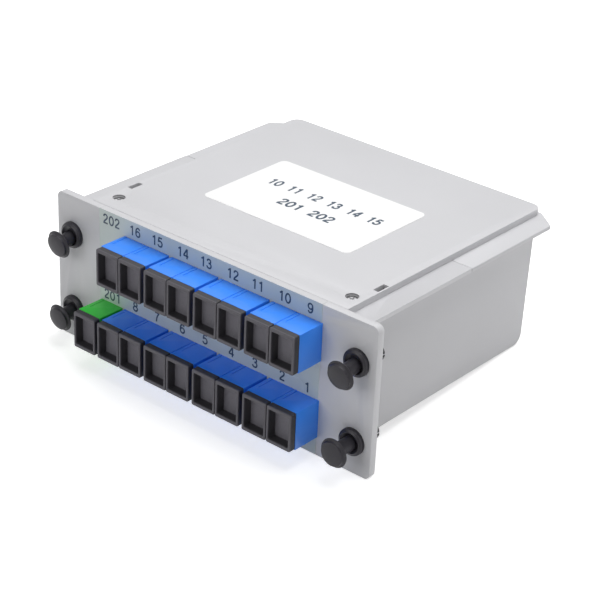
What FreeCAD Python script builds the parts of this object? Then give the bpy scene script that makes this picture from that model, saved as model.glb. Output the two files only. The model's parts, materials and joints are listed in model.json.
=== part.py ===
"""Plug-in cassette holding a one-to-sixteen planar lightwave fibre splitter.

Axes: +X to the right seen from the front, +Y to the back, +Z up.
The origin lies at the bottom centre of the cassette's bounding box.
Each piece is drawn with the front panel's face at y = 0, and its placement
then moves it back to that origin.
"""
import FreeCAD
import Part
import os
import re
import Sketcher

Vector = FreeCAD.Vector
DUPLEX_COUNT = 4
LEADS_PER_LAYER = 8

# Each size is a number or, where it follows others, a formula that starts with "=".
SIZES = {
    # front panel
    "panel_width": ("= adapter_block + 2 * panel_side", "front panel, left to right"),
    "panel_side": (19.78, "panel beside the block of adapters"),
    "panel_height": (50.3, "front panel, bottom to top"),
    "panel_thick": (2.6, "front panel plate"),
    "panel_corner": (2.0, "radius of the panel's four corners"),
    # case
    "cassette_depth": (100.5, "panel's face to the cover's back edge"),
    "case_width": ("= 2 * (latch_x - barrel_radius - latch_clear)",
                   "outside of one side wall to the other"),
    "latch_clear": (0.7, "side wall to the latch barrels"),
    "case_bottom": (5.4, "height of the tray's underside"),
    "wall": (1.8, "tray walls and floor"),
    "floor_relief": (0.9, "floor left under the lower adapters"),
    "relief_depth": (20.0, "how far back the thin floor reaches"),
    "relief_side": (1.3, "thin floor past the block of adapters"),
    "overhang": (7.4, "cover's back edge past the tray's rear wall"),
    "rear_draft": (1.4, "lean of the rear wall, top to bottom"),
    "heel_radius": (4.0, "radius where the rear wall meets the floor"),
    "case_edge": (1.0, "radius of the tray's other outer edges"),
    # guide rails
    "rail_span": ("= panel_width - 2 * rail_inset", "one guide rail's edge to the other"),
    "rail_inset": (5.95, "guide rail's edge inside the panel's"),
    "rail_top": ("= panel_height - cover_thick", "height of the rails' upper face"),
    "rail_thick": (1.4, "guide rail plate"),
    "rail_inner": ("= rail_span / 2 - rail_plate", "inner edge of the cover's ledge"),
    "rail_plate": (15.55, "rail and cover's ledge, left to right"),
    "rail_seam": (52.3, "joint between the panel's arms and the tray's rails"),
    "seam_gap": (0.25, "gap at that joint"),
    "rail_lead": (5.9, "length of the lead-in cut at the rails' rear ends"),
    "rail_corner": (1.3, "radius of the outer corner at that cut"),
    "ledge": (3.0, "ledge inside the rear wall"),
    # cover
    "cover_width": ("= rail_span - 2 * rail_bare", "top cover, left to right"),
    "rail_bare": (7.45, "guide rail beside the cover"),
    "cover_thick": (2.15, "top cover"),
    "cover_corner": (3.4, "radius of the cover's two rear corners"),
    "cover_gap": (0.1, "cover's front edge to the panel"),
    "rib_thick": (1.2, "locating ribs under the cover"),
    "rib_drop": (2.0, "locating ribs, below the rails' upper face"),
    "rib_gap": (0.3, "locating ribs to the ledge"),
    "rib_front": (20.0, "front of the locating ribs behind the face"),
    "rib_rear": (9.0, "back of the locating ribs to the rear wall"),
    "hook_width": (8.0, "hooks at the back of the cover"),
    "hook_spread": (50.0, "distance between the two hooks"),
    "hook_lap": (1.6, "how far a hook reaches under the ledge"),
    "hook_thick": (1.4, "hook's tongue"),
    "hook_gap": (0.1, "hook's tongue to the ledge above it"),
    "slot_x": ("= cover_width / 2 - slot_inset", "centre of the latch slots from the middle"),
    "slot_inset": (1.5, "centre of the latch slots from the cover's edge"),
    "slot_y": (19.7, "centre of the latch slots behind the face"),
    "slot_length": (5.0, "latch slots, front to back"),
    "slot_width": (1.9, "latch slots, left to right"),
    # cover screws
    "screw_x": ("= cover_width / 2 - screw_inset", "cover screws from the middle"),
    "screw_inset": (4.2, "cover screws from the cover's edge"),
    "screw_y": (9.8, "cover screws behind the face"),
    "screw_radius": (1.2, "shank of the cover screws"),
    "screw_length": (9.0, "cover screws, head included"),
    "screw_head_radius": (1.9, "countersunk head"),
    "screw_head": (0.9, "depth of the countersunk head"),
    "screw_clearance": (0.15, "shank to its clearance hole"),
    "screw_fit": (0.02, "shank to its threaded boss"),
    "screw_sink": (0.9, "head's face below the cover"),
    "screw_point": (0.5, "chamfer at the screw's tip"),
    "cross_reach": (1.2, "arms of the cross recess"),
    "cross_width": (0.6, "arms of the cross recess"),
    "cross_depth": (0.6, "cross recess"),
    "boss_radius": (2.5, "screw bosses in the tray"),
    "boss_length": (8.5, "screw bosses below the rail"),
    # adapters
    "duplex_width": (19.1, "two-port adapter"),
    "simplex_width": ("= port_pitch - port_trim", "one-port adapter"),
    "adapter_height": (12.5, "adapter in front of the panel"),
    "adapter_front": (10.0, "adapter in front of the panel's face"),
    "adapter_back": (18.6, "adapter behind the panel's face"),
    "shoulder": (0.3, "step that stops the adapter at the panel"),
    "aperture_gap": (0.1, "adapter to its hole in the panel"),
    "duplex_gap": (1.23, "one two-port adapter to the next"),
    "duplex_pitch": ("= duplex_width + duplex_gap", "spacing of the two-port adapters"),
    "simplex_gap": (1.05, "one-port adapter to the first two-port one"),
    "adapter_block": (f"= simplex_width + simplex_gap + {DUPLEX_COUNT} * duplex_pitch - duplex_gap",
                      "all adapters, left to right"),
    "block_shift": (-0.13, "middle of the adapters from the panel's"),
    "duplex_first": ("= block_shift + adapter_block / 2 + duplex_gap + duplex_width / 2"
                     f" - {DUPLEX_COUNT} * duplex_pitch", "middle of the first two-port adapter"),
    "upper_margin": (5.9, "panel above the upper row"),
    "lower_margin": (6.25, "panel below the lower row"),
    "row_upper": ("= panel_height - upper_margin - adapter_height / 2",
                  "height of the upper row's middle"),
    "row_lower": ("= lower_margin + adapter_height / 2", "height of the lower row's middle"),
    "port_pitch": ("= duplex_width / 2", "spacing of the two ports in an adapter"),
    "port_trim": (0.25, "one port's share of the adapter to a cap or a one-port adapter"),
    "side_wall": (1.025, "adapter wall beside a port"),
    "end_wall": (1.7, "adapter wall above and below a port"),
    "port_width": ("= port_pitch - 2 * side_wall", "port cavity"),
    "port_height": ("= adapter_height - 2 * end_wall", "port cavity"),
    "mouth_side": (0.4, "mouth past the cavity, left and right"),
    "mouth_end": (0.95, "mouth past the cavity, top and bottom"),
    "mouth_width": ("= port_width + 2 * mouth_side", "widened mouth of a port"),
    "mouth_height": ("= port_height + 2 * mouth_end", "widened mouth of a port"),
    "mouth_depth": (1.4, "widened mouth of a port"),
    "web": (1.6, "wall across the middle of an adapter"),
    "groove": (0.25, "fine grooves on the adapters"),
    "groove_inset": (1.2, "groove from the left edge of each port"),
    "groove_length": (6.6, "groove in front of the panel"),
    # sleeves and latches inside the adapters
    "sleeve_radius": (1.6, "zirconia sleeve, outside"),
    "sleeve_bore": (1.25, "zirconia sleeve, inside"),
    "sleeve_length": (11.4, "zirconia sleeve"),
    "sleeve_slit": (0.3, "slit along the sleeve"),
    "holder_radius": (2.3, "tube round the sleeve, outside"),
    "holder_length": (13.0, "tube round the sleeve"),
    "holder_plate": (0.8, "plate that the latch arms stand on"),
    "holder_gap": (0.1, "sleeve holder to the port's walls"),
    "inner_gap": (0.05, "pieces inside an adapter to each other"),
    "arm_reach": (8.6, "latch arms from the adapter's middle"),
    "arm_thick": (0.6, "latch arms"),
    "arm_width": (3.0, "latch arms"),
    # spring clips
    "clip_thick": (0.3, "spring clip strip"),
    "clip_flare": (0.75, "spring clip tab beside the adapter"),
    "clip_height": (6.0, "spring clip"),
    "clip_end": (8.0, "spring clip behind the panel's face"),
    # dust caps
    "cap_width": ("= port_pitch - port_trim", "dust cap"),
    "cap_trim": (0.1, "dust cap lower than the adapter"),
    "cap_height": ("= adapter_height - cap_trim", "dust cap"),
    "cap_flange": (2.4, "dust cap in front of the adapter"),
    "cap_corner": (0.5, "radius of the cap's corners"),
    "cap_seat": (0.05, "cap to the adapter's face"),
    "cap_gap": (0.12, "cap to the port's walls"),
    "rim_side": (0.75, "cap's face beside the recess"),
    "rim_end": (1.15, "cap's face above and below the recess"),
    "recess_width": ("= cap_width - 2 * rim_side", "recess in the cap's face"),
    "recess_height": ("= cap_height - 2 * rim_end", "recess in the cap's face"),
    "recess_depth": (3.1, "recess in the cap's face"),
    "recess_draft": (5.0, "lean of the recess's walls, in degrees"),
    "cap_floor": (0.6, "wall behind the recess"),
    "plug_length": (3.7, "hollow plug behind that wall"),
    "plug_wall": (0.8, "wall of the hollow plug"),
    # panel latches
    "latch_x": ("= panel_width / 2 - latch_inset", "panel latches from the middle"),
    "latch_inset": (6.8, "panel latches from the panel's ends"),
    "latch_upper": ("= panel_height - latch_drop", "height of the upper latches"),
    "latch_drop": (13.35, "upper latches below the panel's top edge"),
    "latch_lower": (10.7, "height of the lower latches"),
    "flange_radius": ("= collar_radius + flange_step", "latch grommet's flange"),
    "flange_step": (0.4, "flange past its raised ring"),
    "flange_thick": (1.0, "latch grommet's flange"),
    "collar_radius": ("= barrel_radius + collar_step", "raised ring on the flange"),
    "collar_step": (1.0, "raised ring past the barrel"),
    "collar_height": (0.8, "raised ring on the flange"),
    "dish_width": (1.0, "dished mouth past the grommet's bore"),
    "dish_depth": (1.7, "dished mouth of the grommet"),
    "barrel_radius": ("= pin_radius + pin_gap + barrel_wall", "grommet barrel"),
    "barrel_wall": (0.6, "wall of the grommet barrel"),
    "barrel_end": (9.3, "grommet barrel behind the panel's face"),
    "barrel_taper": (0.5, "chamfer round the barrel's end"),
    "barrel_gap": (0.1, "barrel to its hole in the panel"),
    "barrel_slit": (0.8, "slits that split the barrel"),
    "slit_start": (4.4, "front of those slits behind the panel's face"),
    "pin_radius": (2.35, "latch plunger's pin"),
    "pin_length": (3.0, "full-width end of the pin"),
    "pin_gap": (0.05, "pin to the grommet's bore"),
    "neck_radius": ("= pin_radius - neck_step", "neck between the pin and the head"),
    "neck_step": (0.25, "pin past its neck"),
    "knob_radius": ("= pin_radius + knob_step", "plunger's head"),
    "knob_step": (2.35, "plunger's head past its pin"),
    "knob_thick": (2.0, "plunger's head"),
    "knob_round": (0.5, "rounding of the head's rim"),
    "knob_stop": (0.1, "head to the ring when pushed in"),
    "pull_left": (4.0, "left plungers drawn out by"),
    "pull_upper_right": (5.2, "upper right plunger drawn out by"),
    "pull_lower_right": (6.2, "lower right plunger drawn out by"),
    # films
    "film": (0.12, "printed films"),
    "film_past": (0.65, "port film past the block of adapters, on the left"),
    "film_short": (0.39, "port film short of that block, on the right"),
    "film_margin": (0.4, "port film to the panel's edges"),
    "film_gap": (0.25, "port film to the adapters"),
    "label_left": (-30.2, "left edge of the top label"),
    "label_front": (29.6, "front edge of the top label"),
    "label_width": (59.5, "top label"),
    "label_depth": (39.6, "top label"),
    "label_corner": (2.2, "radius of the top label's corners"),
    # connectors and fibres inside
    "plug_gap": (0.1, "rear connector to the port's walls"),
    "plug_width": ("= port_width - 2 * plug_gap", "rear connector"),
    "plug_height": ("= port_height - 2 * plug_gap", "rear connector"),
    "plug_start": (13.2, "front of the rear connectors"),
    "plug_end": (27.0, "back of the rear connectors"),
    "ferrule_radius": (1.24, "connector ferrule"),
    "ferrule_end": (17.0, "back of the ferrules"),
    "boot_radius": (2.4, "connector boot where it is thickest"),
    "boot_tip": (1.2, "connector boot at its tip"),
    "boot_end": (35.0, "tip of the connector boots"),
    "fibre_radius": (0.45, "buffered fibre"),
    "fibre_bend": (8.0, "bend of the upper fibres"),
    "coil_width": ("= case_width - 2 * coil_side", "fibre coil, left to right"),
    "coil_side": (4.5, "fibre coil inside the case's sides"),
    "coil_front": (41.5, "front of the fibre coil"),
    "coil_depth": ("= cassette_depth - overhang - rear_draft - wall - coil_rear - coil_front",
                   "fibre coil, front to back"),
    "coil_rear": (4.4, "fibre coil to the rear wall"),
    "coil_band": (5.0, "width of the coiled bundle"),
    "coil_height": ("= row_lower + fibre_radius + coil_cover - case_bottom - wall",
                    "height of the coiled bundle"),
    "coil_cover": (0.25, "coiled bundle above the lower fibres"),
    "coil_corner": (11.0, "radius of the coil's corners"),
    "saddle_thick": (0.6, "coil saddles"),
    "saddle_foot": (2.4, "coil saddle's feet"),
    "saddle_length": (5.0, "coil saddles along the bundle"),
    "saddle_x": ("= -duplex_first - saddle_off", "coil saddles from the middle"),
    "saddle_off": (0.05, "coil saddles nearer the middle than the first two-port adapter"),
    "saddle_gap": (0.05, "coil saddles to the bundle"),
    "chip_length": (60.0, "splitter module"),
    "chip_width": (12.0, "splitter module"),
    "chip_height": (4.0, "splitter module"),
    "chip_edge": (0.8, "radius of the module's edges"),
    "pad_thick": (1.0, "foam pad under the module"),
    "pad_inset": (1.0, "foam pad inside the module's outline"),
    "nose_length": (8.0, "soft ends of the module"),
    "nose_inset": (1.0, "soft ends inside the module's outline"),
    "lead_pitch": (1.15, "spacing of the module's leads"),
}

ALIAS = re.compile(r"[a-z_]+[a-z]")
EPSILON = 1e-6

doc = FreeCAD.newDocument("fibre_splitter_cassette")
sheet = doc.addObject("Spreadsheet::Sheet", "Sizes")
SUBPARTS = []


def fill_sheet():
    """Write every driving dimension into the sheet, one row each."""
    for row, alias in enumerate(SIZES, start=1):
        sheet.set(f"A{row}", alias)
        sheet.setAlias(f"B{row}", alias)
    for row, (value, note) in enumerate(SIZES.values(), start=1):
        sheet.set(f"B{row}", str(value))
        sheet.set(f"C{row}", note)
    doc.recompute()


def sized(text):
    """Turn 'wall * 2' into an expression that reads the size sheet."""
    def qualified(match):
        word = match.group()
        return "Sizes." + word if word in SIZES else word
    return ALIAS.sub(qualified, str(text))


def number(text):
    """Return the present value of a size expression."""
    result = sheet.evalExpression(sized(text))
    return float(getattr(result, "Value", result))


def bind(item, **expressions):
    """Bind properties such as Length or Placement__Base__x to sizes."""
    for name, text in expressions.items():
        item.setExpression(name.replace("__", "."), sized(text))


def place(item, x="0", y="0", z="0"):
    """Bind where an object stands."""
    bind(item, Placement__Base__x=x, Placement__Base__y=y, Placement__Base__z=z)


# Distance from the panel's face back to the middle of the bounding box.
BOX_MIDDLE = "(cassette_depth - adapter_front - cap_flange) / 2"


def subpart(item, label, x="0", y="0", z="0"):
    """Register a finished piece: its own label and its place in the cassette."""
    item.Label = label
    place(item, x, f"{y} - {BOX_MIDDLE}", z)
    SUBPARTS.append(item)
    return item


def add(kind, name):
    return doc.addObject(kind, name)


class Outline:
    """Closed shapes of one sketch: polygons and circles in size expressions."""

    def __init__(self):
        self.shapes = []

    def polygon(self, *points):
        self.shapes.append(("polygon", points))
        return self

    def rectangle(self, left, right, low, high):
        return self.polygon((left, low), (right, low), (right, high), (left, high))

    def centred(self, x, y, width, height):
        return self.rectangle(f"{x} - ({width}) / 2", f"{x} + ({width}) / 2",
                              f"{y} - ({height}) / 2", f"{y} + ({height}) / 2")

    def circle(self, x, y, radius):
        self.shapes.append(("circle", (x, y, radius)))
        return self

    def draw(self, sketch):
        for kind, values in self.shapes:
            if kind == "polygon":
                draw_polygon(sketch, values)
            else:
                draw_circle(sketch, *values)


def pin_point(sketch, line, corner, x, y):
    """Hold one point of the geometry at (x, y), measured from the sketch's origin."""
    for direction, text in (("DistanceX", x), ("DistanceY", y)):
        value = number(text)
        index = sketch.addConstraint(
            Sketcher.Constraint(direction, -1, 1, line, corner, value))
        sketch.setExpression(f"Constraints[{index}]", sized(text))


def draw_polygon(sketch, points):
    spots = [Vector(number(x), number(y), 0) for x, y in points]
    turns = spots[1:] + spots[:1]
    lines = [sketch.addGeometry(Part.LineSegment(a, b)) for a, b in zip(spots, turns)]
    for line, following in zip(lines, lines[1:] + lines[:1]):
        sketch.addConstraint(Sketcher.Constraint("Coincident", line, 2, following, 1))
    for line, (x, y) in zip(lines, points):
        pin_point(sketch, line, 1, x, y)


def draw_circle(sketch, x, y, radius):
    centre = Vector(number(x), number(y), 0)
    ring = sketch.addGeometry(Part.Circle(centre, Vector(0, 0, 1), number(radius)))
    pin_point(sketch, ring, 3, x, y)
    index = sketch.addConstraint(Sketcher.Constraint("Radius", ring, number(radius)))
    sketch.setExpression(f"Constraints[{index}]", sized(radius))


class Piece:
    """A PartDesign body whose features run between two levels of one axis."""

    # Plane seen along an axis: its role, and the sign of its normal on that axis.
    PLANES = {"x": ("YZ_Plane", 1), "y": ("XZ_Plane", -1), "z": ("XY_Plane", 1)}

    def __init__(self, name):
        self.name = name
        self.count = 0
        self.body = add("PartDesign::Body", name)

    def next_name(self, kind):
        self.count += 1
        return f"{self.name}_{kind}_{self.count}"

    def sketch(self, axis, level, outline, across="0"):
        """Draw an outline at one level of an axis, shifted across by a distance."""
        role, sign = self.PLANES[axis]
        plane = [p for p in self.body.Origin.OriginFeatures if p.Role == role][0]
        sketch = self.body.newObject("Sketcher::SketchObject", self.next_name("sketch"))
        sketch.AttachmentSupport = (plane, [""])
        sketch.MapMode = "FlatFace"
        bind(sketch, AttachmentOffset__Base__z=f"{sign} * ({level})",
             AttachmentOffset__Base__x=across)
        outline.draw(sketch)
        sketch.Visibility = False
        return sketch, sign

    def feature(self, kind, sketch, length, backwards):
        made = self.body.newObject(f"PartDesign::{kind}", self.next_name(kind.lower()))
        made.Profile = sketch
        made.Reversed = backwards
        bind(made, Length=length)
        return made

    def pad(self, axis, start, end, outline):
        """Add material from level start up to level end."""
        sketch, sign = self.sketch(axis, start, outline)
        return self.feature("Pad", sketch, f"({end}) - ({start})", sign < 0)

    def pocket(self, axis, start, end, outline):
        """Cut material from level start up to level end."""
        sketch, sign = self.sketch(axis, start, outline)
        return self.feature("Pocket", sketch, f"({end}) - ({start})", sign > 0)

    def turned(self, kind, axis, level, outline, across="0"):
        """Turn an outline (radius, height) about the sketch's upright axis."""
        sketch, _ = self.sketch(axis, level, outline, across)
        made = self.body.newObject(f"PartDesign::{kind}", self.next_name(kind.lower()))
        made.Profile = sketch
        made.ReferenceAxis = (sketch, ["V_Axis"])
        made.Angle = 360
        return made

    def fillet(self, radius, chosen):
        """Round the edges that the test picks from the last feature."""
        doc.recompute()
        base = self.body.Tip
        names = [f"Edge{i}" for i, edge in enumerate(base.Shape.Edges, start=1)
                 if chosen(edge)]
        if not names:
            raise RuntimeError(f"{self.name}: no edge to round")
        made = self.body.newObject("PartDesign::Fillet", self.next_name("fillet"))
        made.Base = (base, names)
        bind(made, Radius=radius)
        return made


def along(edge, axis):
    """True for a straight edge parallel to one axis."""
    if edge.Curve.TypeId != "Part::GeomLine":
        return False
    reach = edge.Vertexes[-1].Point - edge.Vertexes[0].Point
    others = [abs(getattr(reach, name)) for name in "xyz" if name != axis]
    return max(others) < EPSILON


def middle(edge, axis):
    box = edge.BoundBox
    return getattr(box.Center, axis)


def near(value, text):
    return abs(value - number(text)) < EPSILON


def bar_between(name, start, end, radius, z="0"):
    """A round bar along Y from start to end."""
    bar = add("Part::Cylinder", name)
    bind(bar, Radius=radius, Height=f"({end}) - ({start})")
    bar.Placement.Rotation = FreeCAD.Rotation(Vector(1, 0, 0), -90)
    place(bar, "0", start, z)
    return bar


def boolean(kind, name, base, tool):
    made = add(kind, name)
    made.Base = base
    made.Tool = tool
    return made


def copy_at(name, form, x="0", y="0", z="0"):
    """A link to a form, standing at one spot."""
    link = add("App::Link", name)
    link.LinkedObject = form
    link.LinkTransform = True
    place(link, x, y, z)
    return link


def copies(label, form, spots):
    """One sub-part made of separate solids: a form repeated at several spots."""
    return grouped(label, [copy_at(f"{label}_{count}", form, *spot)
                           for count, spot in enumerate(spots, start=1)])


def grouped(label, members):
    group = add("Part::Compound", label)
    group.Links = members
    return subpart(group, label)


# Where the adapters and their ports stand

def duplex_x(index):
    return f"duplex_first + {index} * duplex_pitch"


SIMPLEX_X = "(duplex_first - duplex_width / 2 - simplex_gap - simplex_width / 2)"
ROWS = {"upper": "row_upper", "lower": "row_lower"}


def adapter_list():
    """Name, middle, row height, width and port offsets of every adapter."""
    found = [("adapter_input", SIMPLEX_X, "row_lower", "simplex_width", ["0"])]
    sides = ["-port_pitch / 2", "port_pitch / 2"]
    for row, height in ROWS.items():
        for index in range(DUPLEX_COUNT):
            found.append((f"adapter_{row}_{index + 1}", duplex_x(index), height,
                          "duplex_width", sides))
    return found


def port_list():
    """Name and middle of every port: sixteen outputs and the input."""
    ports = []
    for name, x, height, _, offsets in adapter_list():
        for side, offset in enumerate(offsets):
            ports.append((cap_name(name, side), f"{x} + {offset}", height))
    return ports


def port_spots():
    return [(x, "0", height) for _, x, height in port_list()]


def cap_name(adapter, side):
    """Outputs count down from 16 in the upper row and from 8 in the lower one."""
    if adapter == "adapter_input":
        return "dust_cap_input"
    _, row, place_in_row = adapter.split("_")
    first = 16 if row == "upper" else 8
    return f"dust_cap_{first - 2 * (int(place_in_row) - 1) - side}"


LATCHES = [
    ("upper_left", "-latch_x", "latch_upper", "pull_left"),
    ("upper_right", "latch_x", "latch_upper", "pull_upper_right"),
    ("lower_left", "-latch_x", "latch_lower", "pull_left"),
    ("lower_right", "latch_x", "latch_lower", "pull_lower_right"),
]
SIDES = ("-", "")
RAIL_BOTTOM = "(rail_top - rail_thick)"


# Case pieces

def front_panel():
    """Face plate with its two side arms, which are the front of the guide rails."""
    piece = Piece("front_panel")
    plate = Outline().rectangle("-panel_width / 2", "panel_width / 2", "0", "panel_height")
    piece.pad("y", "0", "panel_thick", plate)
    piece.fillet("panel_corner", lambda edge: along(edge, "y"))
    arms = Outline()
    holes = Outline()
    slots = Outline()
    for sign in SIDES:
        inner, outer = f"{sign}rail_inner", f"{sign}rail_span / 2"
        arms.polygon((inner, "panel_thick"), (outer, "panel_thick"),
                     (outer, "rail_seam"), (inner, "rail_seam"))
        holes.circle(f"{sign}screw_x", "screw_y", "screw_radius + screw_clearance")
        slots.centred(f"{sign}slot_x", "slot_y", "slot_width", "slot_length")
    piece.pad("z", RAIL_BOTTOM, "rail_top", arms)
    piece.pocket("z", RAIL_BOTTOM, "rail_top", holes)
    piece.pocket("z", RAIL_BOTTOM, "rail_top", slots)
    apertures = Outline()
    for _, x, height, width, _ in adapter_list():
        apertures.centred(x, height, f"{width} - 2 * shoulder + 2 * aperture_gap",
                          "adapter_height - 2 * shoulder + 2 * aperture_gap")
    piece.pocket("y", "0", "panel_thick", apertures)
    sockets = Outline()
    for _, x, height, _ in LATCHES:
        sockets.circle(x, height, "barrel_radius + barrel_gap")
    piece.pocket("y", "0", "panel_thick", sockets)
    return subpart(piece.body, "front_panel")


REAR_WALL = "(cassette_depth - overhang)"


def case_tray():
    """Open box with the rear guide rails, the rear flange and two screw bosses."""
    piece = Piece("case_tray")
    side = Outline().polygon(
        ("panel_thick", "case_bottom"), (f"{REAR_WALL} - rear_draft", "case_bottom"),
        (REAR_WALL, RAIL_BOTTOM), ("panel_thick", RAIL_BOTTOM))
    piece.pad("x", "-case_width / 2", "case_width / 2", side)
    piece.fillet("heel_radius", lambda edge: along(edge, "x")
                 and near(middle(edge, "z"), "case_bottom")
                 and not near(middle(edge, "y"), "panel_thick"))
    piece.fillet("case_edge", lambda edge: near(abs(middle(edge, "x")), "case_width / 2")
                 and not near(middle(edge, "z"), RAIL_BOTTOM)
                 and not near(middle(edge, "y"), "panel_thick"))
    inside = Outline().polygon(
        ("panel_thick", "case_bottom + wall"),
        (f"{REAR_WALL} - rear_draft - wall", "case_bottom + wall"),
        (f"{REAR_WALL} - wall", RAIL_BOTTOM), ("panel_thick", RAIL_BOTTOM))
    piece.pocket("x", "-case_width / 2 + wall", "case_width / 2 - wall", inside)
    relief = Outline().centred("0", "(panel_thick + relief_depth) / 2",
                               "adapter_block + 2 * relief_side",
                               "relief_depth - panel_thick")
    piece.pocket("z", "case_bottom + floor_relief", "case_bottom + wall", relief)
    rear_lead = "cassette_depth - rail_lead"
    rails = Outline().polygon(
        ("-rail_span / 2", "rail_seam + seam_gap"), ("-rail_span / 2", rear_lead),
        ("-cover_width / 2", "cassette_depth"), ("cover_width / 2", "cassette_depth"),
        ("rail_span / 2", rear_lead), ("rail_span / 2", "rail_seam + seam_gap"),
        ("rail_inner", "rail_seam + seam_gap"), ("rail_inner", f"{REAR_WALL} - wall - ledge"),
        ("-rail_inner", f"{REAR_WALL} - wall - ledge"), ("-rail_inner", "rail_seam + seam_gap"))
    piece.pad("z", RAIL_BOTTOM, "rail_top", rails)
    piece.fillet("rail_corner", lambda edge: along(edge, "z")
                 and near(middle(edge, "y"), rear_lead))
    bosses = Outline()
    ribs = Outline()
    pilots = Outline()
    for sign in SIDES:
        bosses.circle(f"{sign}screw_x", "screw_y", "boss_radius")
        near_end = f"{sign}(screw_x + boss_radius - wall)"
        wall_end = f"{sign}(case_width / 2 - wall / 2)"
        ribs.polygon((near_end, "screw_y - wall / 2"), (wall_end, "screw_y - wall / 2"),
                     (wall_end, "screw_y + wall / 2"), (near_end, "screw_y + wall / 2"))
        pilots.circle(f"{sign}screw_x", "screw_y", "screw_radius + screw_fit")
    boss_bottom = f"{RAIL_BOTTOM} - boss_length"
    piece.pad("z", boss_bottom, RAIL_BOTTOM, ribs)
    piece.pad("z", boss_bottom, RAIL_BOTTOM, bosses)
    piece.pocket("z", boss_bottom, RAIL_BOTTOM, pilots)
    return subpart(piece.body, "case_tray")


def top_cover():
    """Flat cover, countersunk for two screws, hooked under the rear ledge."""
    piece = Piece("top_cover")
    front = "panel_thick + cover_gap"
    plate = Outline().rectangle("-cover_width / 2", "cover_width / 2",
                                front, "cassette_depth")
    piece.pad("z", "rail_top", "panel_height", plate)
    piece.fillet("cover_corner", lambda edge: along(edge, "z")
                 and near(middle(edge, "y"), "cassette_depth"))
    slots = Outline()
    ribs = Outline()
    for sign in SIDES:
        slots.centred(f"{sign}slot_x", "slot_y", "slot_width", "slot_length")
        outer = f"{sign}(rail_inner - rib_gap)"
        inner = f"{sign}(rail_inner - rib_gap - rib_thick)"
        ribs.polygon((inner, "rib_front"), (outer, "rib_front"),
                     (outer, f"{REAR_WALL} - wall - rib_rear"),
                     (inner, f"{REAR_WALL} - wall - rib_rear"))
    piece.pocket("z", "rail_top", "panel_height", slots)
    piece.pad("z", "rail_top - rib_drop", "rail_top", ribs)
    risers = Outline()
    tongues = Outline()
    ledge_edge = f"{REAR_WALL} - wall - ledge - rib_gap"
    for sign in SIDES:
        spot = f"{sign}hook_spread / 2"
        left, right = f"{spot} - hook_width / 2", f"{spot} + hook_width / 2"
        risers.rectangle(left, right, f"{ledge_edge} - rib_thick", ledge_edge)
        tongues.rectangle(left, right, f"{ledge_edge} - rib_thick",
                          f"{ledge_edge} + rib_gap + hook_lap")
    tongue_top = f"{RAIL_BOTTOM} - hook_gap"
    piece.pad("z", f"{tongue_top} - hook_thick", "rail_top", risers)
    piece.pad("z", f"{tongue_top} - hook_thick", tongue_top, tongues)
    seat = Outline().polygon(
        ("0", "rail_top"), ("screw_radius + screw_clearance", "rail_top"),
        ("screw_radius + screw_clearance", "panel_height - screw_head - screw_sink"),
        ("screw_head_radius + screw_clearance", "panel_height - screw_sink"),
        ("screw_head_radius + screw_clearance", "panel_height"), ("0", "panel_height"))
    for sign in SIDES:
        piece.turned("Groove", "x", f"{sign}screw_x", seat, across="screw_y")
    return subpart(piece.body, "top_cover")


def cover_screws():
    """Two countersunk screws with a cross recess."""
    piece = Piece("cover_screw_form")
    shank_end = "screw_head - screw_length"
    profile = Outline().polygon(
        ("0", shank_end), ("screw_radius - screw_point", shank_end),
        ("screw_radius", f"{shank_end} + screw_point"), ("screw_radius", "0"),
        ("screw_head_radius", "screw_head"), ("0", "screw_head"))
    piece.turned("Revolution", "x", "0", profile)
    wing, half = "cross_reach", "cross_width / 2"
    cross = Outline().polygon(
        (f"-{wing}", f"-{half}"), (f"-{half}", f"-{half}"), (f"-{half}", f"-{wing}"),
        (half, f"-{wing}"), (half, f"-{half}"), (wing, f"-{half}"), (wing, half),
        (half, half), (half, wing), (f"-{half}", wing), (f"-{half}", half),
        (f"-{wing}", half))
    piece.pocket("z", "screw_head - cross_depth", "screw_head", cross)
    level = "panel_height - screw_sink - screw_head"
    spots = [(f"{sign}screw_x", "screw_y", level) for sign in SIDES]
    return copies("cover_screws", piece.body, spots)


def port_label():
    """Printed film on the panel's face, folded over its top edge."""
    piece = Piece("port_label")
    film_left = "block_shift - adapter_block / 2 - film_past"
    film_right = "block_shift + adapter_block / 2 - film_short"
    sheet_outline = Outline().rectangle(film_left, film_right, "film_margin",
                                        "panel_height + film")
    piece.pad("y", "-film", "0", sheet_outline)
    fold = Outline().rectangle(film_left, film_right, "0", "panel_thick - film_margin")
    piece.pad("z", "panel_height", "panel_height + film", fold)
    windows = Outline()
    for _, x, height, width, _ in adapter_list():
        windows.centred(x, height, f"{width} + 2 * film_gap",
                        "adapter_height + 2 * film_gap")
    piece.pocket("y", "-film", "0", windows)
    return subpart(piece.body, "port_label")


def top_label():
    """White label on the cover."""
    piece = Piece("top_label")
    outline = Outline().rectangle("label_left", "label_left + label_width",
                                  "label_front", "label_front + label_depth")
    piece.pad("z", "panel_height", "panel_height + film", outline)
    piece.fillet("label_corner", lambda edge: along(edge, "z"))
    return subpart(piece.body, "top_label")


# Panel latches

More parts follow.
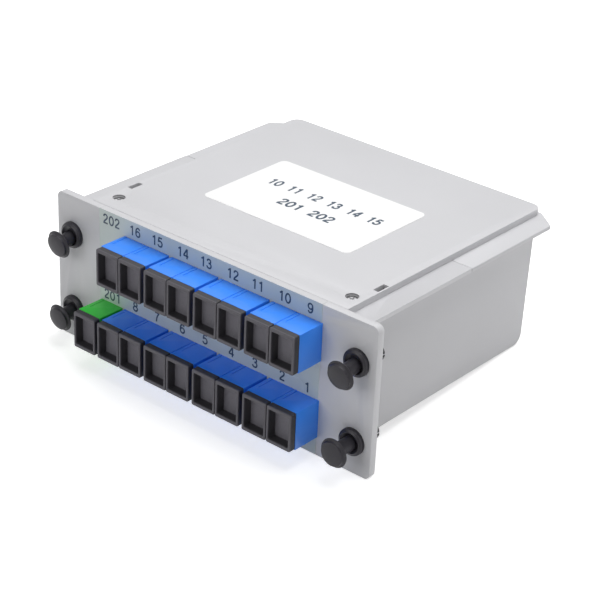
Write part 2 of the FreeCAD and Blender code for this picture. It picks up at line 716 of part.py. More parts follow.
def latch_grommet(label, x, height):
    """Flanged bush with a dished mouth, whose split barrel snaps through the panel."""
    piece = Piece(label)
    bore = "pin_radius + pin_gap"
    face = "-flange_thick - collar_height"
    profile = Outline().polygon(
        (bore, f"{face} + dish_depth"), (f"{bore} + dish_width", face),
        ("collar_radius", face), ("collar_radius", "-flange_thick"),
        ("flange_radius", "-flange_thick"), ("flange_radius", "0"),
        ("barrel_radius", "0"), ("barrel_radius", "barrel_end - barrel_taper"),
        ("barrel_radius - barrel_taper", "barrel_end"), (bore, "barrel_end"))
    piece.turned("Revolution", "z", "0", profile)
    across = "2 * flange_radius"
    upright = Outline().centred("0", "0", "barrel_slit", across)
    piece.pocket("y", "slit_start", "barrel_end", upright)
    level = Outline().centred("0", "0", across, "barrel_slit")
    piece.pocket("y", "slit_start", "barrel_end", level)
    return subpart(piece.body, label, x, "0", height)


RING_FACE = "(flange_thick + collar_height)"


def latch_plunger(label, x, height, pull):
    """Push pin with a slimmer neck and a round head, drawn out by its pull."""
    piece = Piece(label)
    tip = f"{RING_FACE} + knob_stop + barrel_end"
    profile = Outline().polygon(
        ("0", "-knob_thick"), ("knob_radius - knob_round", "-knob_thick"),
        ("knob_radius", "-knob_thick + knob_round"), ("knob_radius", "-knob_round / 2"),
        ("knob_radius - knob_round / 2", "0"), ("neck_radius", "0"),
        ("neck_radius", f"{tip} - pin_length - neck_step"),
        ("pin_radius", f"{tip} - pin_length"), ("pin_radius", f"{tip} - knob_round"),
        ("pin_radius - knob_round", tip), ("0", tip))
    piece.turned("Revolution", "z", "0", profile)
    return subpart(piece.body, label, x, f"-{RING_FACE} - knob_stop - {pull}", height)


# Adapters and what they hold

WEB_MIDDLE = "((adapter_back - adapter_front) / 2)"


def adapter(label, x, height, width, offsets):
    """Square-bodied fibre adapter, closed by a web across its middle."""
    piece = Piece(label)
    front = Outline().centred("0", "0", width, "adapter_height")
    piece.pad("y", "-adapter_front", "0", front)
    back = Outline().centred("0", "0", f"{width} - 2 * shoulder",
                             "adapter_height - 2 * shoulder")
    piece.pad("y", "0", "adapter_back", back)
    mouths, cavities, holes = Outline(), Outline(), Outline()
    for offset in offsets:
        mouths.centred(offset, "0", "mouth_width", "mouth_height")
        cavities.centred(offset, "0", "port_width", "port_height")
        holes.circle(offset, "0", "holder_radius + inner_gap")
    piece.pocket("y", "-adapter_front", "mouth_depth - adapter_front", mouths)
    piece.pocket("y", "-adapter_front", f"{WEB_MIDDLE} - web / 2", cavities)
    piece.pocket("y", f"{WEB_MIDDLE} + web / 2", "adapter_back", cavities)
    piece.pocket("y", f"{WEB_MIDDLE} - web / 2", f"{WEB_MIDDLE} + web / 2", holes)
    grooves = Outline()
    for offset in offsets:
        left = f"{offset} - {width} / {2 * len(offsets)} + groove_inset"
        grooves.rectangle(left, f"{left} + groove", "-groove_length", "0")
    if len(offsets) == 2:
        grooves.rectangle("-groove / 2", "groove / 2", "-adapter_front", "0")
    piece.pocket("z", "adapter_height / 2 - groove", "adapter_height / 2", grooves)
    return subpart(piece.body, label, x, "0", height)


def adapter_clips():
    """Spring strips beside each adapter, sprung against the panel's back."""
    strips = {}
    links = []
    for count, (_, x, height, width, _) in enumerate(adapter_list()):
        for sign in (-1, 1):
            if (width, sign) not in strips:
                strips[width, sign] = clip_form(width, sign)
            links.append(copy_at(f"adapter_clip_{count}_{sign + 1}", strips[width, sign],
                                 x, "0", height))
    return grouped("adapter_clips", links)


def clip_form(width, sign):
    side = "left" if sign < 0 else "right"
    piece = Piece(f"clip_form_{width}_{side}")
    start = f"{sign} * ({width} / 2 - shoulder + inner_gap)"
    outer = f"{start} + {sign} * clip_thick"
    flare = f"{start} + {sign} * clip_flare"
    tab = "panel_thick + aperture_gap"
    strip = Outline().polygon(
        (start, tab), (flare, tab), (flare, f"{tab} + clip_thick"),
        (outer, f"{tab} + 2 * clip_thick"), (outer, "clip_end"), (start, "clip_end"))
    piece.pad("z", "-clip_height / 2", "clip_height / 2", strip)
    return piece.body


def ceramic_sleeves():
    """Slit zirconia sleeves that line up the two ferrules of each port."""
    outer = bar_between("sleeve_outer", f"{WEB_MIDDLE} - sleeve_length / 2",
                         f"{WEB_MIDDLE} + sleeve_length / 2", "sleeve_radius")
    inner = bar_between("sleeve_inner", f"{WEB_MIDDLE} - sleeve_length",
                         f"{WEB_MIDDLE} + sleeve_length", "sleeve_bore")
    slit = add("Part::Box", "sleeve_slot")
    bind(slit, Length="sleeve_slit", Width="2 * sleeve_length", Height="sleeve_radius * 2")
    place(slit, "-sleeve_slit / 2", f"{WEB_MIDDLE} - sleeve_length", "0")
    tube = boolean("Part::Cut", "sleeve_tube", outer, inner)
    form = boolean("Part::Cut", "sleeve_form", tube, slit)
    return copies("ceramic_sleeves", form, port_spots())


def sleeve_holders():
    """Tube halves with two latch arms each, one in front of the web, one behind."""
    halves = []
    for side, sign in (("front", -1), ("rear", 1)):
        piece = Piece(f"holder_{side}")
        stand = "web / 2 + inner_gap"
        plate_levels = holder_levels(sign, stand, f"{stand} + holder_plate")
        plate = Outline().centred("0", "0", "port_width - 2 * holder_gap",
                                  "port_height - 2 * holder_gap")
        piece.pad("y", *plate_levels, plate)
        tube = Outline().circle("0", "0", "holder_radius")
        piece.pad("y", *holder_levels(sign, "inner_gap / 2", "holder_length / 2"), tube)
        arms = Outline()
        for up in SIDES:
            outer = f"{up}(port_height / 2 - holder_gap)"
            inner = f"{up}(port_height / 2 - holder_gap - arm_thick)"
            arms.polygon(("-arm_width / 2", inner), ("arm_width / 2", inner),
                         ("arm_width / 2", outer), ("-arm_width / 2", outer))
        piece.pad("y", *holder_levels(sign, stand, "arm_reach"), arms)
        bore = Outline().circle("0", "0", "sleeve_radius + inner_gap")
        piece.pocket("y", *holder_levels(sign, "0", "holder_length / 2"), bore)
        halves.append(piece.body)
    links = [copy_at(f"{half.Name}_{count}", half, *spot)
             for half in halves for count, spot in enumerate(port_spots())]
    return grouped("sleeve_holders", links)


def holder_levels(sign, near_level, far_level):
    """Two levels either side of the web's middle, low one first."""
    ends = [f"{WEB_MIDDLE} + {sign} * ({level})" for level in (near_level, far_level)]
    return ends if sign > 0 else ends[::-1]


def dust_cap(label, x, height):
    """Soft cap: recessed face, shallow boss in the mouth and a hollow plug."""
    piece = Piece(label)
    face = "-adapter_front - cap_flange"
    seat = "-adapter_front - cap_seat"
    wall_front = f"{face} + recess_depth"
    wall_back = f"{wall_front} + cap_floor"
    plug_end = f"{wall_back} + plug_length"
    piece.pad("y", face, seat, Outline().centred("0", "0", "cap_width", "cap_height"))
    piece.fillet("cap_corner", lambda edge: along(edge, "y"))
    boss = Outline().centred("0", "0", "mouth_width - 2 * cap_gap",
                             "mouth_height - 2 * cap_gap")
    piece.pad("y", seat, wall_back, boss)
    plug = Outline().centred("0", "0", "port_width - 2 * cap_gap",
                             "port_height - 2 * cap_gap")
    piece.pad("y", wall_back, plug_end, plug)
    recess = Outline().centred("0", "0", "recess_width", "recess_height")
    bind(piece.pocket("y", face, wall_front, recess), TaperAngle="-recess_draft")
    hollow = Outline().centred("0", "0", "port_width - 2 * cap_gap - 2 * plug_wall",
                               "port_height - 2 * cap_gap - 2 * plug_wall")
    piece.pocket("y", wall_back, plug_end, hollow)
    return subpart(piece.body, label, x, "0", height)


# Connectors and fibres inside the case

def rear_connectors():
    """Square plugs pushed into the adapters from inside the case."""
    piece = Piece("connector_form")
    shell = Outline().centred("0", "0", "plug_width", "plug_height")
    piece.pad("y", "plug_start", "plug_end", shell)
    socket = Outline().circle("0", "0", "ferrule_radius + inner_gap")
    piece.pocket("y", "plug_start", "ferrule_end", socket)
    return copies("rear_connectors", piece.body, port_spots())


def ferrules():
    """Ceramic ferrules standing in the connectors, halfway into the sleeves."""
    form = bar_between("ferrule_form", f"{WEB_MIDDLE} + inner_gap", "ferrule_end",
                        "ferrule_radius")
    return copies("ferrules", form, port_spots())


def rear_boots():
    """Tapered strain reliefs behind the connectors."""
    cone = add("Part::Cone", "boot_form")
    bind(cone, Radius1="boot_radius", Radius2="boot_tip", Height="boot_end - plug_end")
    cone.Placement.Rotation = FreeCAD.Rotation(Vector(1, 0, 0), -90)
    place(cone, "0", "plug_end", "0")
    return copies("rear_boots", cone, port_spots())


FLOOR = "(case_bottom + wall)"


def pigtails():
    """Buffered fibres: straight into the coil below, bent down to it above."""
    straight = bar_between("lower_pigtail", "boot_end", "coil_front", "fibre_radius",
                            z="row_lower")
    lead = "coil_front + coil_band / 2 - fibre_bend"
    level = bar_between("upper_lead", "boot_end", lead, "fibre_radius", z="row_upper")
    bend = add("Part::Torus", "upper_bend")
    bind(bend, Radius1="fibre_bend", Radius2="fibre_radius")
    bend.Angle3 = 90
    bend.Placement.Rotation = FreeCAD.Rotation(Vector(0, 1, 0), Vector(0, 0, 1),
                                               Vector(1, 0, 0), "XYZ")
    place(bend, "0", lead, "row_upper - fibre_bend")
    drop = add("Part::Cylinder", "upper_drop")
    bind(drop, Radius="fibre_radius",
         Height=f"row_upper - fibre_bend - {FLOOR} - coil_height")
    place(drop, "0", f"{lead} + fibre_bend", f"{FLOOR} + coil_height")
    bent = add("Part::MultiFuse", "upper_pigtail")
    bent.Shapes = [level, bend, drop]
    forms = {"row_upper": bent, "row_lower": straight}
    links = [copy_at(f"pigtail_{name}", forms[height], x) for name, x, height in port_list()]
    return grouped("pigtails", links)


COIL_MIDDLE = "(coil_front + coil_depth / 2)"


def fibre_coil():
    """The stored fibre, wound as one rounded rectangular bundle on the floor."""
    piece = Piece("fibre_coil")
    outer = Outline().centred("0", COIL_MIDDLE, "coil_width", "coil_depth")
    piece.pad("z", FLOOR, f"{FLOOR} + coil_height", outer)
    piece.fillet("coil_corner", lambda edge: along(edge, "z"))
    inner = Outline().centred("0", COIL_MIDDLE, "coil_width - 2 * coil_band",
                              "coil_depth - 2 * coil_band")
    piece.pocket("z", FLOOR, f"{FLOOR} + coil_height", inner)
    inner_edge = "coil_width / 2 - coil_band"
    piece.fillet("coil_corner - coil_band", lambda edge: along(edge, "z")
                 and near(abs(middle(edge, "x")), inner_edge))
    return subpart(piece.body, "fibre_coil")


def coil_saddles():
    """Saddles that hold the coil down on the floor."""
    piece = Piece("saddle_form")
    half = "coil_band / 2 + saddle_gap"
    outer = f"{half} + saddle_thick"
    foot = f"{outer} + saddle_foot"
    roof = "coil_height + saddle_gap"
    profile = Outline().polygon(
        (f"-({foot})", "0"), (f"-({half})", "0"), (f"-({half})", roof), (half, roof),
        (half, "0"), (foot, "0"), (foot, "saddle_thick"), (outer, "saddle_thick"),
        (outer, f"{roof} + saddle_thick"), (f"-({outer})", f"{roof} + saddle_thick"),
        (f"-({outer})", "saddle_thick"), (f"-({foot})", "saddle_thick"))
    piece.pad("x", "-saddle_length / 2", "saddle_length / 2", profile)
    rows = ("coil_front + coil_band / 2", "coil_front + coil_depth - coil_band / 2")
    spots = [(f"{sign}saddle_x", row, FLOOR) for row in rows for sign in SIDES]
    return copies("coil_saddles", piece.body, spots)


CHIP_FLOOR = f"({FLOOR} + pad_thick)"


def splitter_module():
    """Steel-cased splitter chip inside the coil."""
    piece = Piece("splitter_module")
    outline = Outline().centred("0", COIL_MIDDLE, "chip_length", "chip_width")
    piece.pad("z", CHIP_FLOOR, f"{CHIP_FLOOR} + chip_height", outline)
    piece.fillet("chip_edge", lambda edge: along(edge, "x"))
    return subpart(piece.body, "splitter_module")


def module_pad():
    """Foam pad that sticks the module to the floor."""
    piece = Piece("module_pad")
    outline = Outline().centred("0", COIL_MIDDLE, "chip_length - 2 * pad_inset",
                                "chip_width - 2 * pad_inset")
    piece.pad("z", FLOOR, CHIP_FLOOR, outline)
    return subpart(piece.body, "module_pad")


def module_noses():
    """Soft ends of the module, where the fibres leave it."""
    piece = Piece("nose_form")
    outline = Outline().centred("0", "0", "nose_length", "chip_width - 2 * nose_inset")
    piece.pad("z", "nose_inset / 2", "chip_height - nose_inset / 2", outline)
    spots = [(f"{sign}(chip_length + nose_length) / 2", COIL_MIDDLE, CHIP_FLOOR)
             for sign in SIDES]
    return copies("module_noses", piece.body, spots)


def cross_lead(name, length):
    """A fibre along X, starting at its own origin."""
    bar = add("Part::Cylinder", name)
    bind(bar, Radius="fibre_radius", Height=length)
    bar.Placement.Rotation = FreeCAD.Rotation(Vector(0, 1, 0), 90)
    return bar


def module_leads():
    """One fibre from the coil into the module, sixteen out of it in two layers."""
    nose = "(chip_length / 2 + nose_length)"
    length = f"coil_width / 2 - coil_band - {nose}"
    form = cross_lead("lead_form", length)
    level = f"{CHIP_FLOOR} + chip_height / 2"
    spots = [(f"-{nose} - ({length})", COIL_MIDDLE, level)]
    for layer in (-1, 1):
        for index in range(LEADS_PER_LAYER):
            offset = index - (LEADS_PER_LAYER - 1) / 2
            spots.append((nose, f"{COIL_MIDDLE} + {offset} * lead_pitch",
                          f"{level} + {layer} * lead_pitch / 2"))
    return copies("module_leads", form, spots)


def build():
    fill_sheet()
    front_panel()
    case_tray()
    top_cover()
    cover_screws()
    port_label()
    top_label()
    for side, x, height, pull in LATCHES:
        latch_grommet(f"latch_grommet_{side}", x, height)
        latch_plunger(f"latch_plunger_{side}", x, height, pull)
    for values in adapter_list():
        adapter(*values)
    adapter_clips()
    ceramic_sleeves()
    sleeve_holders()
    for values in port_list():
        dust_cap(*values)
    rear_connectors()
    ferrules()
    rear_boots()
    pigtails()
    fibre_coil()
    coil_saddles()
    splitter_module()
    module_pad()
    module_noses()
    module_leads()
    doc.recompute()


def check():
    """Stop at any failed feature, empty shape or cut that removed nothing."""
    for item in doc.Objects:
        if "Invalid" in item.State or "Error" in item.State:
            raise RuntimeError(f"{item.Name}: {item.State}")
        if item.TypeId in ("PartDesign::Pocket", "PartDesign::Groove"):
            if item.Shape.Volume > item.BaseFeature.Shape.Volume - EPSILON:
                raise RuntimeError(f"{item.Name} cuts nothing")
    for item in SUBPARTS:
        if item.Shape.isNull() or not item.Shape.isValid():
            raise RuntimeError(f"{item.Label} has no valid shape")


def export():
    os.makedirs("parts", exist_ok=True)
    for item in SUBPARTS:
        item.Shape.exportStep(f"parts/{item.Label}.step")
        box = item.Shape.BoundBox
        print(f"{item.Label}: {len(item.Shape.Solids)} solid(s), {item.Shape.Volume:.1f} mm3,"
              f" y {box.YMin:.2f} to {box.YMax:.2f}, z {box.ZMin:.2f} to {box.ZMax:.2f}")


build()
check()
export()
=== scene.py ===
"""Looks of a plug-in fibre splitter cassette, built round its CAD parts.

Lengths are metres in the CAD model's frame: +X to the right seen from the
front, +Y to the back, +Z up. Profiles are written in millimetres.
"""
import json
import math

import bmesh
import bpy
import numpy as np
from bpy.props import FloatProperty, FloatVectorProperty, IntProperty, PointerProperty
from mathutils import Matrix, Vector


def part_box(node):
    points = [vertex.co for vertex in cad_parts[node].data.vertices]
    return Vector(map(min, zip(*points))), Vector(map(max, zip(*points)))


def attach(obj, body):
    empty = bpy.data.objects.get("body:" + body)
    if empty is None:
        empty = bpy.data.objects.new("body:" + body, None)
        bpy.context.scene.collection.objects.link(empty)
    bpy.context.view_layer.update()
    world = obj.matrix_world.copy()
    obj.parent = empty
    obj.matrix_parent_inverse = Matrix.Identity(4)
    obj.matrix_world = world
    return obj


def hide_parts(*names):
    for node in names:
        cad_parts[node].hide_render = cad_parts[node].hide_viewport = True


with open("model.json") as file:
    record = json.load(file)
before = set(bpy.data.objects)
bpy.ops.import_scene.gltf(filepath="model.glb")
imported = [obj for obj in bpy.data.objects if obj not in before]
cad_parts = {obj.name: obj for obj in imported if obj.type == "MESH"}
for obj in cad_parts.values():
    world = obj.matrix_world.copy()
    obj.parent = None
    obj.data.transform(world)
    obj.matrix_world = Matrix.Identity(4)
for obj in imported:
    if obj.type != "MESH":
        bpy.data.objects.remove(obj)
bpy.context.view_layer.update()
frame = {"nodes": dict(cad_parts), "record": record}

bl_info = {
    "name": "Fibre splitter cassette",
    "version": (1, 0, 0),
    "blender": (4, 5, 0),
    "location": "View3D > Sidebar > Cassette",
    "description": "Builds the visible pieces of a plug-in fibre splitter cassette",
    "category": "Add Mesh",
}

MM = 0.001
# Below these distances two things are one: stations, in millimetres, and in metres the points
# of a new piece and of a CAD piece. An edge shorter than the last is dropped.
SAME_STATION = 1e-9
SAME_POINT = 1e-7
SAME_CAD_POINT = 1e-6
NO_EDGE = 1e-8
WHITE = (1.0, 1.0, 1.0)
CASE = "case"
ADAPTERS = [f"adapter_{row}_{index}" for row in ("upper", "lower") for index in range(1, 5)]
CAPS = ["dust_cap_input"] + [f"dust_cap_{number}" for number in range(1, 17)]
# How far each drawn-out latch plunger hangs down in its grommet, in degrees.
LATCH_LEANS = {"upper_left": 8.1, "upper_right": 7.7, "lower_left": 8.0, "lower_right": 1.4}
# Edges that turn by more than this many degrees are rounded, or stay sharp in the shading.
EDGE_ANGLE = 40.0
# Faces that turn by less than this many degrees are made one before a CAD piece is rounded.
FLAT_ANGLE = 1.0
# Heights of the middles of the two rows of port numbers, and the one-port adapter's figures.
FIGURE_ROWS = {"upper": 0.0475, "lower": 0.0214}
INPUT_FIGURES = {"upper": "202", "lower": "201"}
# Lines on the label: piece, text, its middle from the label's own (x, y), and its width.
LABEL_LINES = (("label_figures_1", "10 11 12 13 14 15", (0.0009, 0.0042), 0.0454),
               ("label_figures_2", "201 202", (0.0011, -0.0052), 0.0216))
# Lamps: name, the setting that holds its power, its place, and its width and height.
LAMPS = (("top_lamp", "top_power", (0.05, 0.12, 0.60), (0.55, 0.45)),
         ("front_lamp", "front_power", (-0.15, -0.72, 0.37), (0.5, 0.5)),
         ("side_lamp", "side_power", (0.80, -0.05, 0.30), (0.5, 0.5)))
LAMP_TARGET = (0.0, 0.0, 0.02)
SENSOR_WIDTH = 36.0
# How far ahead of its back edge the tray touches the floor, and how far the floor reaches.
HEEL_INSET = 0.011
FLOOR_REACH = 4.0
# Height of the strip of film that looks clear at the fold, and the unit of a screw's ramps.
FOLD_STRIP = 0.0001
SCREW_UNIT = 0.0025


def length(name, description, default):
    """A property that holds a length in metres."""
    return FloatProperty(name=name, description=description, default=default,
                         min=0.0, unit="LENGTH", subtype="DISTANCE", precision=5)


def colour(name, description, default):
    """A property that holds a colour."""
    return FloatVectorProperty(name=name, description=description, default=default,
                               size=3, min=0.0, max=1.0, subtype="COLOR")


def share(name, description, default):
    """A property that holds a share from 0 to 1."""
    return FloatProperty(name=name, description=description, default=default,
                         min=0.0, max=1.0, subtype="FACTOR")


class CassetteSizes(bpy.types.PropertyGroup):
    """Sizes of the rounded edges, the printed figures and the small relief."""

    case_round: length("Case edges", "Rounding of the case's outer edges", 0.0003)
    cover_round: length("Cover edges", "Rounding of the top cover's edges", 0.00012)
    adapter_round: length("Adapter edges", "Rounding of the adapters' edges", 0.0002)
    cap_round: length("Cap edges", "Rounding round the face of a dust cap", 0.0003)
    knob_dome: length("Knob dome", "How far the middle of a latch knob stands out", 0.0004)
    knob_pivot: length("Knob pivot", "Knob's face to where its pin turns in the bore", 0.0117)
    figure_height: length("Port figures", "Height of the port numbers", 0.0033)
    label_figure_height: length("Label figures", "Height of the label's numbers", 0.0042)
    ink_thick: length("Ink", "Thickness of the printed figures", 0.00002)
    pen: share("Pen", "Stroke of the port numbers as a share of their height", 0.165)
    label_pen: share("Label pen", "Stroke of the label's numbers, likewise", 0.2)
    arc_steps: IntProperty(name="Arc steps", default=7, min=3, max=24,
                           description="Points in a quarter turn of a rounded outline")


class CassetteColours(bpy.types.PropertyGroup):
    """Colours of the cassette's materials."""

    case: colour("Case", "Light grey moulding", (0.60, 0.60, 0.62))
    film: colour("Film", "Grey film on the panel", (0.55, 0.615, 0.59))
    paper: colour("Label", "White label on the cover", (0.90, 0.90, 0.90))
    ink: colour("Ink", "Printed figures", (0.024, 0.045, 0.075))
    blue: colour("Blue adapter", "Two-port adapters", (0.036, 0.250, 0.93))
    green: colour("Green adapter", "One-port adapter", (0.034, 0.60, 0.048))
    cap: colour("Dust cap", "Soft black caps", (0.080, 0.077, 0.088))
    nylon: colour("Latch", "Black nylon latches", (0.034, 0.032, 0.039))
    steel: colour("Steel", "Screws, clips and the module's case", (0.55, 0.55, 0.56))
    ceramic: colour("Ceramic", "Sleeves and ferrules", (0.86, 0.85, 0.80))
    natural: colour("Natural plastic", "Sleeve holders and saddles", (0.72, 0.71, 0.66))
    boot: colour("Boot", "Connector boots and the module's ends", (0.02, 0.07, 0.32))
    jacket: colour("Fibre", "Buffered fibre", (0.76, 0.76, 0.70))
    foam: colour("Foam", "Pad under the module", (0.10, 0.10, 0.11))


class CassetteStage(bpy.types.PropertyGroup):
    """Camera, lamps and floor."""

    lens: FloatProperty(name="Lens", description="Focal length on a 36 mm sensor",
                        default=110.83, min=10.0, unit="CAMERA")
    azimuth: FloatProperty(name="Azimuth", description="Camera's turn to the right",
                           default=math.radians(39.45), subtype="ANGLE")
    elevation: FloatProperty(name="Elevation", description="Camera's height angle",
                             default=math.radians(27.73), subtype="ANGLE")
    roll: FloatProperty(name="Roll", description="Camera's turn about its own axis",
                        default=math.radians(2.562), subtype="ANGLE")
    offset: FloatVectorProperty(name="Offset", size=3, unit="LENGTH", subtype="XYZ",
                                description="Camera to the middle of the panel's foot, along "
                                            "its own right, up and back directions",
                                default=(0.029375, 0.03099, 0.57144))
    top_power: FloatProperty(name="Top lamp", description="Power of the lamp overhead",
                             default=3.6, min=0.0, unit="POWER")
    front_power: FloatProperty(name="Front lamp", description="Power of the lamp in front",
                               default=1.9, min=0.0, unit="POWER")
    side_power: FloatProperty(name="Side lamp", description="Power of the lamp on the right",
                              default=1.1, min=0.0, unit="POWER")
    fill: share("Fill", "Even light from all round", 0.08)
    glow: share("Floor glow", "Whiteness added where the floor is seen", 0.6)


def settings():
    """The sizes that the operators build from."""
    return bpy.context.scene.cassette_sizes


# Shader trees

class Socket:
    """An output of a shader node. Arithmetic on it adds Math nodes."""

    def __init__(self, tree, output):
        self.tree = tree
        self.output = output

    def math(self, operation, first, second):
        """One Math node on two values or sockets."""
        return self.tree.node("ShaderNodeMath", {0: first, 1: second}, operation=operation)

    def __add__(self, other):
        return self.math("ADD", self, other)

    def __sub__(self, other):
        return self.math("SUBTRACT", self, other)

    def __rsub__(self, other):
        return self.math("SUBTRACT", other, self)

    def __mul__(self, other):
        return self.math("MULTIPLY", self, other)

    __radd__ = __add__
    __rmul__ = __mul__


class Tree:
    """The shader tree of a material or a world, grown by one method that makes any node."""

    def __init__(self, owner, shader):
        owner.use_nodes = True
        self.nodes, self.links = owner.node_tree.nodes, owner.node_tree.links
        self.shader = self.nodes[shader]

    def node(self, kind, inputs=(), output=0, stops=(), **options):
        """Make a node: its settings and ramp stops first, then its sockets."""
        made = self.nodes.new(kind)
        for name, value in options.items():
            setattr(made, name, value)
        if stops:
            set_stops(made.color_ramp.elements, stops)
        for name, value in dict(inputs).items():
            self.feed(made.inputs[name], value)
        return Socket(self, made.outputs[output])

    def feed(self, socket, value):
        """Link a socket to another node's output, or give it a value."""
        if isinstance(value, Socket):
            self.links.new(value.output, socket)
        elif socket.type == "RGBA":
            socket.default_value = (*value, 1.0)
        else:
            socket.default_value = value

    def paint(self, **inputs):
        """Feed the closing shader's own sockets, named with _ for each space."""
        for socket, value in inputs.items():
            self.feed(self.shader.inputs[socket.replace("_", " ")], value)

    def seen(self):
        """1 or more for light that is seen, mirrored or looked through, and 0 for the rest."""
        camera, glossy, passed = [
            self.node("ShaderNodeLightPath", output=f"Is {kind} Ray")
            for kind in ("Camera", "Glossy", "Transmission")]
        return camera + glossy + passed


class Surface(Tree):
    """A material's tree, with the patterns that its finish is made of."""

    def __init__(self, name, **constants):
        self.material = bpy.data.materials.new(name)
        super().__init__(self.material, "Principled BSDF")
        self.paint(**constants)

    def place(self):
        """Where a point of the surface lies, in the object's own frame."""
        return self.node("ShaderNodeTexCoord", output="Object")

    def along(self, axis):
        """How far a point of the surface lies along one axis of that frame."""
        return self.node("ShaderNodeSeparateXYZ", {0: self.place()}, output=axis)

    def vector(self, operation, *values, output="Vector"):
        """One Vector Math node."""
        return self.node("ShaderNodeVectorMath", dict(enumerate(values)), output=output,
                         operation=operation)

    def noise(self, scale, detail=3.0, roughness=0.5, place=None):
        """Fractal noise from 0 to 1 with `scale` cells to the metre."""
        return self.node("ShaderNodeTexNoise", {
            "Vector": place or self.place(), "Scale": scale, "Detail": detail,
            "Roughness": roughness})

    def drawn_out(self, scale, scale_along, roughness):
        """Noise with `scale` cells to the metre, and fewer of them along Y."""
        place = self.vector("MULTIPLY", self.place(), (scale, scale_along, scale))
        return self.noise(1.0, roughness=roughness, place=place)

    def ramp(self, value, *stops):
        """A level that follows a value through stops, each a value and its level."""
        return self.node("ShaderNodeValToRGB", {0: value}, stops=stops)

    def mix(self, factor, first, second):
        """Colour `first` turning into `second` as the factor goes from 0 to 1."""
        return self.node("ShaderNodeMix", {0: factor, 6: first, 7: second}, output=2,
                         data_type="RGBA")

    def bump(self, height, distance):
        """Tilt the shading by a height from 0 to 1 that stands for `distance` metres."""
        self.paint(Normal=self.node("ShaderNodeBump", {"Height": height, "Distance": distance}))


def set_stops(elements, stops):
    """Give a colour ramp its stops, each a position and a grey level."""
    while len(elements) < len(stops):
        elements.new(1.0)
    for element, (position, level) in zip(elements, stops):
        element.position = position
        element.color = (level, level, level, 1.0)


def scaled(base, factor):
    """A colour made darker or lighter."""
    return tuple(min(1.0, level * factor) for level in base)


def moulded(name, base, grain, depth, gloss, cloud=0.05, painted_shade=None, **constants):
    """Moulded plastic: sparked grain, a faint cloudiness left by the flow, and any painted shade.

    The roughness wavers about `gloss`: 0.09 is half of what the two patterns can add.
    """
    surface = Surface(name, **constants)
    clouds = surface.noise(38.0)
    fine = surface.noise(grain, roughness=0.6)
    tone = surface.mix(surface.ramp(clouds, (0.3, 0.0), (0.7, 1.0)),
                       scaled(base, 1.0 - cloud), scaled(base, 1.0 + cloud))
    # Painted shade: where the mask is 1, the colour turns to the base at 0.36 of its level.
    if painted_shade:
        tone = surface.mix(painted_shade(surface), tone, scaled(base, 0.36))
    surface.paint(Base_Color=tone, Roughness=clouds * 0.08 + fine * 0.10 + (gloss - 0.09))
    surface.bump(fine, depth)
    return surface.material


def cap_surface(name, base):
    """Soft black moulding: sides and recess walls darkened with painted shade, a paler rim and a
    paler recess floor.

    The ramp runs from 0 at a cap's face to 1 at its inner end.
    """
    low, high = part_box(CAPS[0])
    surface = Surface(name, Specular_IOR_Level=0.3)
    depth = (surface.along("Y") - low.y) * (1.0 / (high.y - low.y))
    # Painted shade: the cap's sides and the recess walls, between the face and the recess floor,
    # are made dark.
    level = surface.ramp(depth, (0.02, 0.6), (0.08, 0.08), (0.38, 0.14), (0.415, 1.0))
    dust = surface.noise(900.0, roughness=0.6)
    fine = surface.noise(2800.0, roughness=0.6)
    surface.paint(Base_Color=surface.mix(level * (dust * 0.5 + 0.75), scaled(base, 0.3),
                                         scaled(base, 1.9)),
                  Roughness=fine * 0.12 + level * 0.1 + 0.42)
    surface.bump(fine, 0.00002)
    return surface.material


def film_surface(name, base, under):
    """Smooth film with a slight orange peel; where it folds over the top it looks clear.

    The fold's ramp runs from 0 to 1 over the strip just below the film's top.
    """
    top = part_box("port_label")[1].z
    surface = Surface(name, IOR=1.5)
    peel = surface.noise(420.0, detail=1.0)
    clouds = surface.noise(30.0, detail=2.0)
    fold = surface.ramp((surface.along("Z") - top) * (1.0 / FOLD_STRIP) + 1.0,
                        (0.2, 0.0), (0.8, 1.0))
    front = surface.mix(clouds, scaled(base, 0.98), scaled(base, 1.02))
    surface.paint(Base_Color=surface.mix(fold, front, under), Roughness=clouds * 0.08 + 0.22)
    surface.bump(peel, 0.00002)
    return surface.material


def paper_surface(name, base):
    """Matt coated paper with short fibres."""
    surface = Surface(name)
    fibres = surface.drawn_out(2600.0, 900.0, 0.7)
    surface.paint(Base_Color=surface.mix(fibres, scaled(base, 0.97), scaled(base, 1.02)),
                  Roughness=fibres * 0.15 + 0.50)
    surface.bump(fibres, 0.00001)
    return surface.material


def ink_surface(name, base):
    """Print whose density wavers a little."""
    surface = Surface(name)
    density = surface.noise(1800.0, roughness=0.7)
    surface.paint(Base_Color=surface.mix(surface.ramp(density, (0.45, 0.0), (0.75, 1.0)),
                                         base, scaled(base, 1.8)),
                  Roughness=density * 0.2 + 0.38)
    return surface.material


def metal_surface(name, base, grain):
    """Rolled metal: fine lines and a few duller patches."""
    surface = Surface(name, Metallic=1.0)
    lines = surface.drawn_out(grain, grain * 0.08, 0.65)
    patches = surface.noise(600.0)
    surface.paint(Base_Color=surface.mix(patches, scaled(base, 0.82), scaled(base, 1.1)),
                  Roughness=lines * 0.18 + patches * 0.12 + 0.18)
    surface.bump(lines, 0.000008)
    return surface.material


def screw_axis():
    """Where the right screw's axis stands, with both distances taken as positive."""
    low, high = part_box("cover_screws")
    radius = (high.y - low.y) / 2
    return (high.x - radius, abs(low.y + radius), 0.0)


def from_screw(surface):
    """Distance of a point from the nearer screw's axis, in SCREW_UNITs."""
    one_side = surface.vector("ABSOLUTE", surface.place())
    flat = surface.vector("MULTIPLY", one_side, (1.0, 1.0, 0.0))
    return (1.0 / SCREW_UNIT) * surface.vector("DISTANCE", flat, screw_axis(), output="Value")


